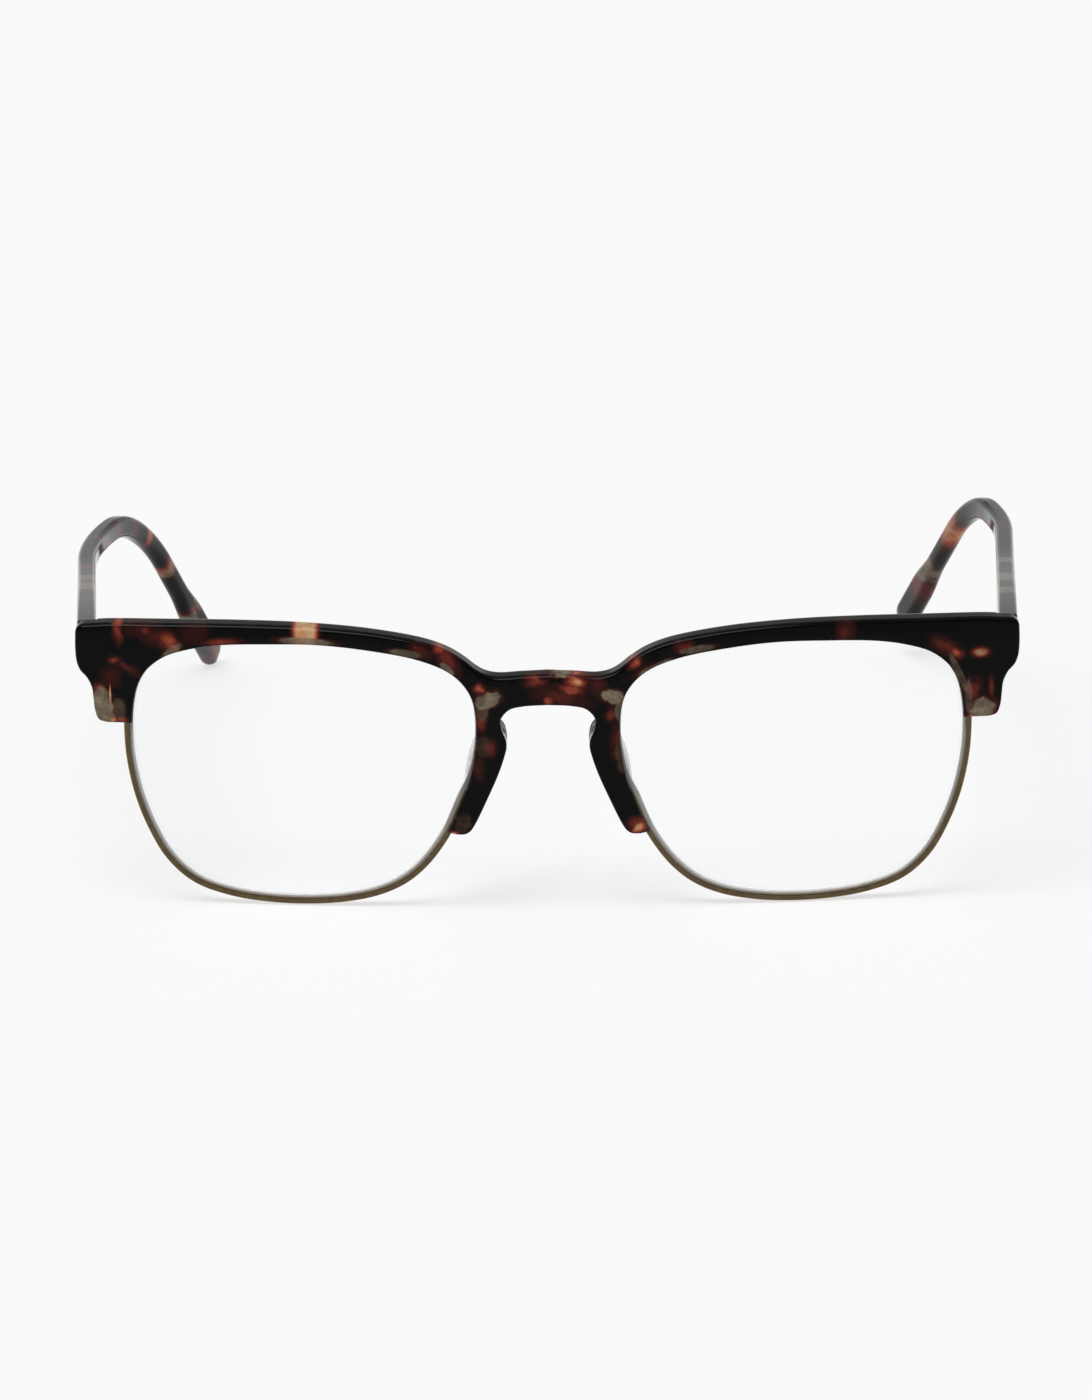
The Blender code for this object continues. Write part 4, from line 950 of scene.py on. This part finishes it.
def clearLens(name, side):
    count = len(lens["edge"]) * lens["steps"]
    half = lens["thickness"] / 2
    middle = Vector((lensX, lensZ))
    stack = [(share, lens["bevel"], -half) for share in lens["rings"]]
    stack += [(1.0, lens["bevel"], -half), (1.0, 0.0, 0.0), (1.0, lens["bevel"], half)]
    stack += [(share, lens["bevel"], half) for share in reversed(lens["rings"])]
    rings = []
    for share, inside, along in stack:
        edge = [lensEdge(i / lens["steps"], -inside) for i in range(count)]
        points = [middle + (spot - middle) * share for spot in edge]
        spots = [wrapped(p.x, p.y, lens["depth"] + along) for p in points]
        rings.append(mirrored(spots, side))
    piece = lofted(rings, name + "_clear_lens")
    dress(piece, lensGlass, "front", [name + "_lens"])
    piece.visible_shadow = False  # a clear lens hardly darkens the floor
    piece.data.materials.append(groundBevel)
    forward = datum.to_3x3() @ Vector((0.0, 1.0, 0.0))
    for face in piece.data.polygons:
        face.material_index = int(abs(face.normal.dot(forward)) < lens["bevelFacing"])


def rimSection():
    half = rim["width"] / 2
    mouth = lens["thickness"] / 2 * rim["inner"] / lens["bevel"] + front["seat"]
    section = [(-rim["inner"], -half), (-rim["inner"], -mouth), (rim["grooveFloor"], 0.0)]
    section += [(-rim["inner"], mouth), (-rim["inner"], half)]
    radius, steps = rim["round"], rim["roundSteps"]
    for along, first in ((half - radius, 90), (radius - half, 0)):
        for i in range(steps + 1):
            turn = math.radians(first - 90 * i / steps)
            outward = rim["outer"] - radius + radius * math.cos(turn)
            section.append((outward, along + radius * math.sin(turn)))
    return section


def lowerRim(name, side):
    length = rim["end"] - rimStart
    count = round(length * rim["steps"])
    places = [rimStart + length * i / count for i in range(count + 1)]
    piece = lofted(sweptRings(rimSection(), places, side), name + "_rim")
    for tab in rimTabs:
        combine(piece, rimTab(side, tab), "UNION")
        combine(piece, screwHole(side, tab))
    dress(piece, antiqueGold, "front", [name + "_lower_rim"])


pad = {
    "length": 0.0136,
    "width": 0.0048,
    "thickness": 0.0034,
    "flare": 0.0011,
    "lean": 17.0,
    "taper": 0.10,
    "power": 2.6,
    "place": (0.950, 0.528),
    "sides": 64,
    "levels": 20,
    "smoothTo": 50.0,  # blunter edges than this are shaded smooth
}


def nosePad(name, side):
    across, up = pad["place"]
    centre = Vector((across * lens["bridge"] / 2, lensLow + up * lens["height"]))
    lean = math.radians(pad["lean"])
    longWay = Vector((-math.sin(lean), math.cos(lean)))
    wideWay = Vector((math.cos(lean), math.sin(lean)))
    rings = []
    for level in range(pad["levels"]):
        rise = math.sin(math.pi / 2 * level / pad["levels"])
        size = math.sqrt(1.0 - rise ** pad["power"])
        depth = front["thickness"] + front["seat"] + pad["thickness"] * rise
        ring = []
        for i in range(pad["sides"]):
            turn = 2 * math.pi * i / pad["sides"]
            taper = 1.0 + pad["taper"] * math.sin(turn)
            wide = pad["width"] / 2 * size * taper * math.cos(turn) + pad["flare"] * rise
            high = pad["length"] / 2 * size * math.sin(turn)
            spot = centre + wideWay * wide + longWay * high
            ring.append(wrapped(spot.x, spot.y, depth))
        rings.append(mirrored(ring, side))
    piece = lofted(rings, name + "_pad")
    dress(piece, padCrystal, "front", [name + "_nose_pad"], pad["smoothTo"])


def cutSlot(piece, reach, low, high, place):
    # the slot for the screwdriver
    half = screw["slotWidth"] / 2
    combine(piece, box((-reach, -half, low), (reach, half, high), "slot", place))


def rimScrew(name, side, spot, tab):
    radius, head, length = screw["radius"], screw["headRadius"], screw["length"]
    profile = (
        (head, 0.0), (head, screw["gap"]), (radius, screw["headHeight"]),
        (radius, length - radius / 2), (radius / 2, length),
    )
    place = screwPlace(side, tab)
    piece = turned(profile, f"{name}_{spot}_screw", place)
    over = front["overrun"]
    cutSlot(piece, head + over, -over, screw["slotDepth"], place)
    dress(piece, antiqueGold, "front", [f"{name}_{spot}_rim_screw"])


for name, side in sides:
    clearLens(name, side)
    lowerRim(name, side)
    nosePad(name, side)
    for spot, tab in zip(("lug", "nose"), rimTabs):
        rimScrew(name, side, spot, tab)
print("lenses, rims and pads made")


# Hinges

def cutBarrels(piece, first, low, high, place):
    # room for the other leaf's barrels, and the screw's bore
    half = hinge["barrelHeight"] / 2 + hinge["barrelGap"]
    for number in range(first, hinge["count"], 2):
        middle = (number - (hinge["count"] - 1) / 2) * barrelPitch
        slab = box((*low, middle - half), (*high, middle + half), "slab", place)
        combine(piece, slab)
    reach = hingeHalf + front["overrun"]
    bore = hinge["pin"] + screw["gap"]
    combine(piece, turned(((bore, -reach), (bore, reach)), "pinBore", place))


def roundedPlate(outline, side, flush=1e-9):
    bm = bmesh.new()
    extrudeAlong(bm, plateRings(outline, side, -hingeHalf, hingeHalf))
    ends = [e for e in bm.edges if abs(e.verts[0].co.z - e.verts[1].co.z) < flush]
    bmesh.ops.bevel(
        bm, geom=ends, offset=hinge["round"], segments=2, profile=0.5,
        affect="EDGES", clamp_overlap=True, material=-1,
    )
    return bm


def frontLeaf(name, side):
    place = hingePlace(side)
    piece = pieceFrom(roundedPlate(frontLeafOutline(), side), name + "_front_leaf", place)
    reach = hinge["barrel"] + front["overrun"]
    clear = hinge["barrel"] + hinge["barrelGap"]
    cutBarrels(piece, 1, (-reach, -clear), (reach, reach), place)
    dress(piece, nickelSilver, "front", [name + "_front_hinge_leaf"])


def templePlace(name, side):
    # the hinge's place, turned as the open temple stands
    splay = math.radians(temple["bends"][name]["splay"])
    return hingePlace(side) @ Matrix.Rotation(-side * splay, 4, "Z")


def templeLeaf(name, side):
    place = templePlace(name, side)
    inner = hinge["insideTemple"]
    neck = math.degrees(math.asin(hinge["neck"] / hinge["barrel"]))
    outer = inner + hinge["leaf"]
    outline = [(outer, -hinge["neck"]), (outer, hinge["templeLeaf"])]
    outline += [(inner, hinge["templeLeaf"]), (inner, hinge["neck"])] + barrelArc(neck, 360 - neck)
    piece = pieceFrom(roundedPlate(outline, side), name + "_temple_leaf", place)
    reach = hinge["barrel"] + front["overrun"]
    clear = hinge["barrel"] + hinge["barrelGap"]
    lowX, highX = sorted((-side * reach, side * clear))
    cutBarrels(piece, 0, (lowX, -reach), (highX, reach), place)
    body = name + "_temple"
    dress(piece, nickelSilver, body, [name + "_temple_hinge_leaf"])


def hingePin(name, side):
    head, top = hinge["head"], hingeHalf + screw["gap"]
    profile = [(hinge["pin"], -hingeHalf - hinge["pinEnd"]), (hinge["pin"], top), (head, top)]
    profile += [(head * w, top + hinge["headHeight"] * h) for w, h in hinge["headShape"]]
    place = hingePlace(side)
    piece = turned(profile, name + "_pin", place)
    end, reach = profile[-1][1], head + front["overrun"]
    cutSlot(piece, reach, end - screw["slotDepth"], end + reach, place)
    dress(piece, nickelSilver, "front", [name + "_hinge_screw"])


for name, side in sides:
    frontLeaf(name, side)
    templeLeaf(name, side)
    hingePin(name, side)
print("hinges made")


# Temples

def templePath(bends):
    splay = math.radians(bends["splay"])
    start = temple["buttGap"] - hinge["behindFront"]
    point = Vector((hinge["insideTemple"] + temple["thickness"] / 2, start, 0.0))
    point.rotate(Matrix.Rotation(-splay, 3, "Z"))
    step = temple["length"] / temple["pathSteps"]
    path = []
    for i in range(temple["pathSteps"] + 1):
        along = step * i
        turnedIn = clamped((along - bends["turnInStart"]) / bends["turnInLength"])
        bent = clamped((along - bends["bendStart"]) / bends["bendLength"])
        heading = splay - math.radians(bends["turnIn"]) * turnedIn
        pitch = math.radians(bends["droop"] + bends["bend"] * bent)
        level = Vector((math.sin(heading), math.cos(heading), 0.0))
        forward = level * math.cos(pitch) - Vector((0.0, 0.0, math.sin(pitch)))
        outward = Vector((math.cos(heading), -math.sin(heading), 0.0))
        path.append((point.copy(), forward, outward, outward.cross(forward)))
        point = point + forward * step
    return path


def placeOn(path, along):
    place = clamped(along / temple["length"]) * temple["pathSteps"]
    index = min(int(place), temple["pathSteps"] - 1)
    return [a.lerp(b, place - index) for a, b in zip(path[index], path[index + 1])]


def templeHeight(along):
    taper = eased(along / temple["shaftStart"])
    widen = eased((along - temple["tipStart"]) / temple["tipWidening"])
    height = temple["butt"] + (temple["shaft"] - temple["butt"]) * taper
    return height + (temple["tip"] - temple["shaft"]) * widen


def templeCorner(along):
    onShaft = eased(along / temple["shaftStart"])
    onTail = eased((along - temple["tailStart"]) / (temple["tailFull"] - temple["tailStart"]))
    corner = temple["buttCorner"] + (temple["shaftCorner"] - temple["buttCorner"]) * onShaft
    return corner + (temple["tailCorner"] - temple["shaftCorner"]) * onTail


def roundedSection(width, height, corner, steps=6):
    corner = min(corner, width / 2, height / 2)
    points = []
    for quarter, (x, z) in enumerate(((1, 1), (-1, 1), (-1, -1), (1, -1))):
        across, up = x * (width / 2 - corner), z * (height / 2 - corner)
        for i in range(steps + 1):
            turn = math.pi / 2 * (quarter + i / steps)
            points.append((across + corner * math.cos(turn), up + corner * math.sin(turn)))
    return points


def ringAt(spot, section, side):
    point, _, outward, upward = spot
    return mirrored([point + outward * across + upward * up for across, up in section], side)


def acetateTemple(name, side):
    path = templePath(temple["bends"][name])
    straight, tip = temple["length"] - temple["tipRound"], temple["tipStations"]
    stations = [(straight * i / temple["stations"], 1.0) for i in range(temple["stations"] + 1)]
    for turn in (math.pi / 2 * i / tip for i in range(1, tip + 1)):
        along = temple["length"] - temple["tipRound"] * (1 - math.sin(turn))
        stations.append((along, max(math.cos(turn), temple["tipLeast"])))
    rings = []
    for along, size in stations:
        full = (temple["thickness"], templeHeight(along), templeCorner(along))
        section = roundedSection(*(measure * size for measure in full))
        rings.append(ringAt(placeOn(path, along), section, side))
    # the first ring lies against the front
    forward = placeOn(path, 0.0)[1]
    butt = []
    for x, y, z in rings[0]:
        shift = (temple["buttGap"] - hinge["behindFront"] + wrapSlope * side * x - y) / forward.y
        butt.append((x + side * forward.x * shift, y + forward.y * shift, z + forward.z * shift))
    rings[0] = butt
    piece = lofted(rings, name + "_acetate_temple", hingePlace(side))
    seat, over = front["seat"], front["overrun"]
    inner, outer = hinge["insideTemple"] - over, hinge["insideTemple"] + hinge["leaf"] + seat
    lowX, highX = sorted((side * inner, side * outer))
    low = (lowX, -hinge["behindFront"] - over, -hingeHalf - seat)
    high = (highX, hinge["templeLeaf"] + seat, hingeHalf + seat)
    combine(piece, box(low, high, "leafPocket", templePlace(name, side)))
    body = name + "_temple"
    dress(piece, templeAcetate[name], body, [name + "_temple"])


for name, side in sides:
    acetateTemple(name, side)
    wire = frame["nodes"][name + "_temple_core_wire"]
    wire.data.materials.clear()
    wire.data.materials.append(nickelSilver)
print("temples made")


# Studio

studio = {
    "floor": (0.85, 0.85, 0.85),
    "floorSize": 8.0,
    "backdrop": 0.955,  # the white that shows, under the object's own shadow
    "backdropShare": 0.70,
    "floorDrop": 0.0002,
    "sun": 2.7,
    "sunAngle": 40.0,
    "sunFrom": (-0.25, -0.35, 1.0),
    "horizon": 0.66,  # the world's strength low down, between and overhead
    "between": 0.12,
    "dome": 0.45,
    "horizonFade": (0.17, 0.30),  # sines of the heights where each part fades into the next
    "domeFade": (0.50, 0.85),
}
view = {
    "target": (0.0, 0.0, 0.0320),  # in the front's own frame, as the rest of these are
    "distance": 1.0,
    "elevation": 15.57,
    "roll": -0.4,
    "shift": (-0.000265, 0.000471),  # how far the camera stands right of and above its aim
    "focal": 6790.0,  # in pixels of the picture
    "picture": 1400.0,
    "sensor": 36.0,  # in millimetres
    "clip": (0.05, 50.0),
}


def makeFloor():
    bm = bmesh.new()
    bmesh.ops.create_grid(bm, x_segments=1, y_segments=1, size=studio["floorSize"] / 2)
    mesh = bpy.data.meshes.new("floor")
    bm.to_mesh(mesh)
    bm.free()
    floor = bpy.data.objects.new("floor", mesh)
    floor.location.z = -studio["floorDrop"]
    scene.collection.objects.link(floor)
    finish = Finish("paleFloor")
    finish.set(Base_Color=studio["floor"], Roughness=1.0, Specular_IOR_Level=0.0)
    seen = Value(finish, None)
    for ray in ("Is Camera Ray", "Is Glossy Ray", "Is Transmission Ray"):
        seen = seen | finish.node("ShaderNodeLightPath", output=ray)
    white = {"Color": (1.0, 1.0, 1.0), "Strength": studio["backdrop"]}
    glow = finish.node("ShaderNodeEmission", {}, white)
    plain = Value(finish, finish.shader.outputs[0])
    shaders = {0: seen * studio["backdropShare"], 1: plain, 2: glow}
    both = finish.node("ShaderNodeMixShader", {}, shaders)
    finish.join(finish.tree.nodes["Material Output"].inputs["Surface"], both)
    mesh.materials.append(finish.material)


def makeWorld():
    world = bpy.data.worlds.new("studio")
    scene.world = world
    world.use_nodes = True
    tree = world.node_tree
    where = tree.nodes.new("ShaderNodeTexCoord")
    split = tree.nodes.new("ShaderNodeSeparateXYZ")
    tree.links.new(where.outputs["Generated"], split.inputs[0])
    fades = []
    parts = (
        (*studio["horizonFade"], studio["horizon"] - studio["between"], 0.0),
        (*studio["domeFade"], 0.0, studio["dome"] - studio["between"]),
    )
    for values in parts:
        fade = tree.nodes.new("ShaderNodeMapRange")
        fade.interpolation_type = "SMOOTHSTEP"
        for name, value in zip(("From Min", "From Max", "To Min", "To Max"), values):
            fade.inputs[name].default_value = value
        tree.links.new(split.outputs["Z"], fade.inputs["Value"])
        fades.append(fade)
    total = tree.nodes.new("ShaderNodeMath")
    tree.links.new(fades[0].outputs[0], total.inputs[0])
    tree.links.new(fades[1].outputs[0], total.inputs[1])
    base = tree.nodes.new("ShaderNodeMath")
    base.inputs[1].default_value = studio["between"]
    tree.links.new(total.outputs[0], base.inputs[0])
    tree.links.new(base.outputs[0], tree.nodes["Background"].inputs["Strength"])
    tree.nodes["Background"].inputs["Color"].default_value = (1, 1, 1, 1)


def makeLamp():
    data = bpy.data.lights.new("overheadLight", "SUN")
    data.energy = studio["sun"]
    data.angle = math.radians(studio["sunAngle"])
    lamp = bpy.data.objects.new("overheadLight", data)
    lamp.rotation_mode = "QUATERNION"
    lamp.rotation_quaternion = Vector(studio["sunFrom"]).to_track_quat("Z", "Y")
    scene.collection.objects.link(lamp)


def makeCamera():
    data = bpy.data.cameras.new("camera")
    data.sensor_width = view["sensor"]
    data.lens = view["sensor"] * view["focal"] / view["picture"]
    data.clip_start, data.clip_end = view["clip"]
    camera = bpy.data.objects.new("camera", data)
    rise = math.radians(view["elevation"])
    back = Vector((0.0, -math.cos(rise), math.sin(rise)))
    aim = back.to_track_quat("Z", "Y").to_matrix().to_4x4()
    place = datum @ Matrix.Translation(Vector(view["target"]) + back * view["distance"])
    roll = Matrix.Rotation(math.radians(view["roll"]), 4, "Z")
    aside = Matrix.Translation((*view["shift"], 0.0))
    camera.matrix_world = place @ aim @ roll @ aside
    scene.collection.objects.link(camera)
    scene.camera = camera


makeFloor()
makeWorld()
makeLamp()
makeCamera()
scene.view_settings.view_transform = "Standard"
print("studio set")
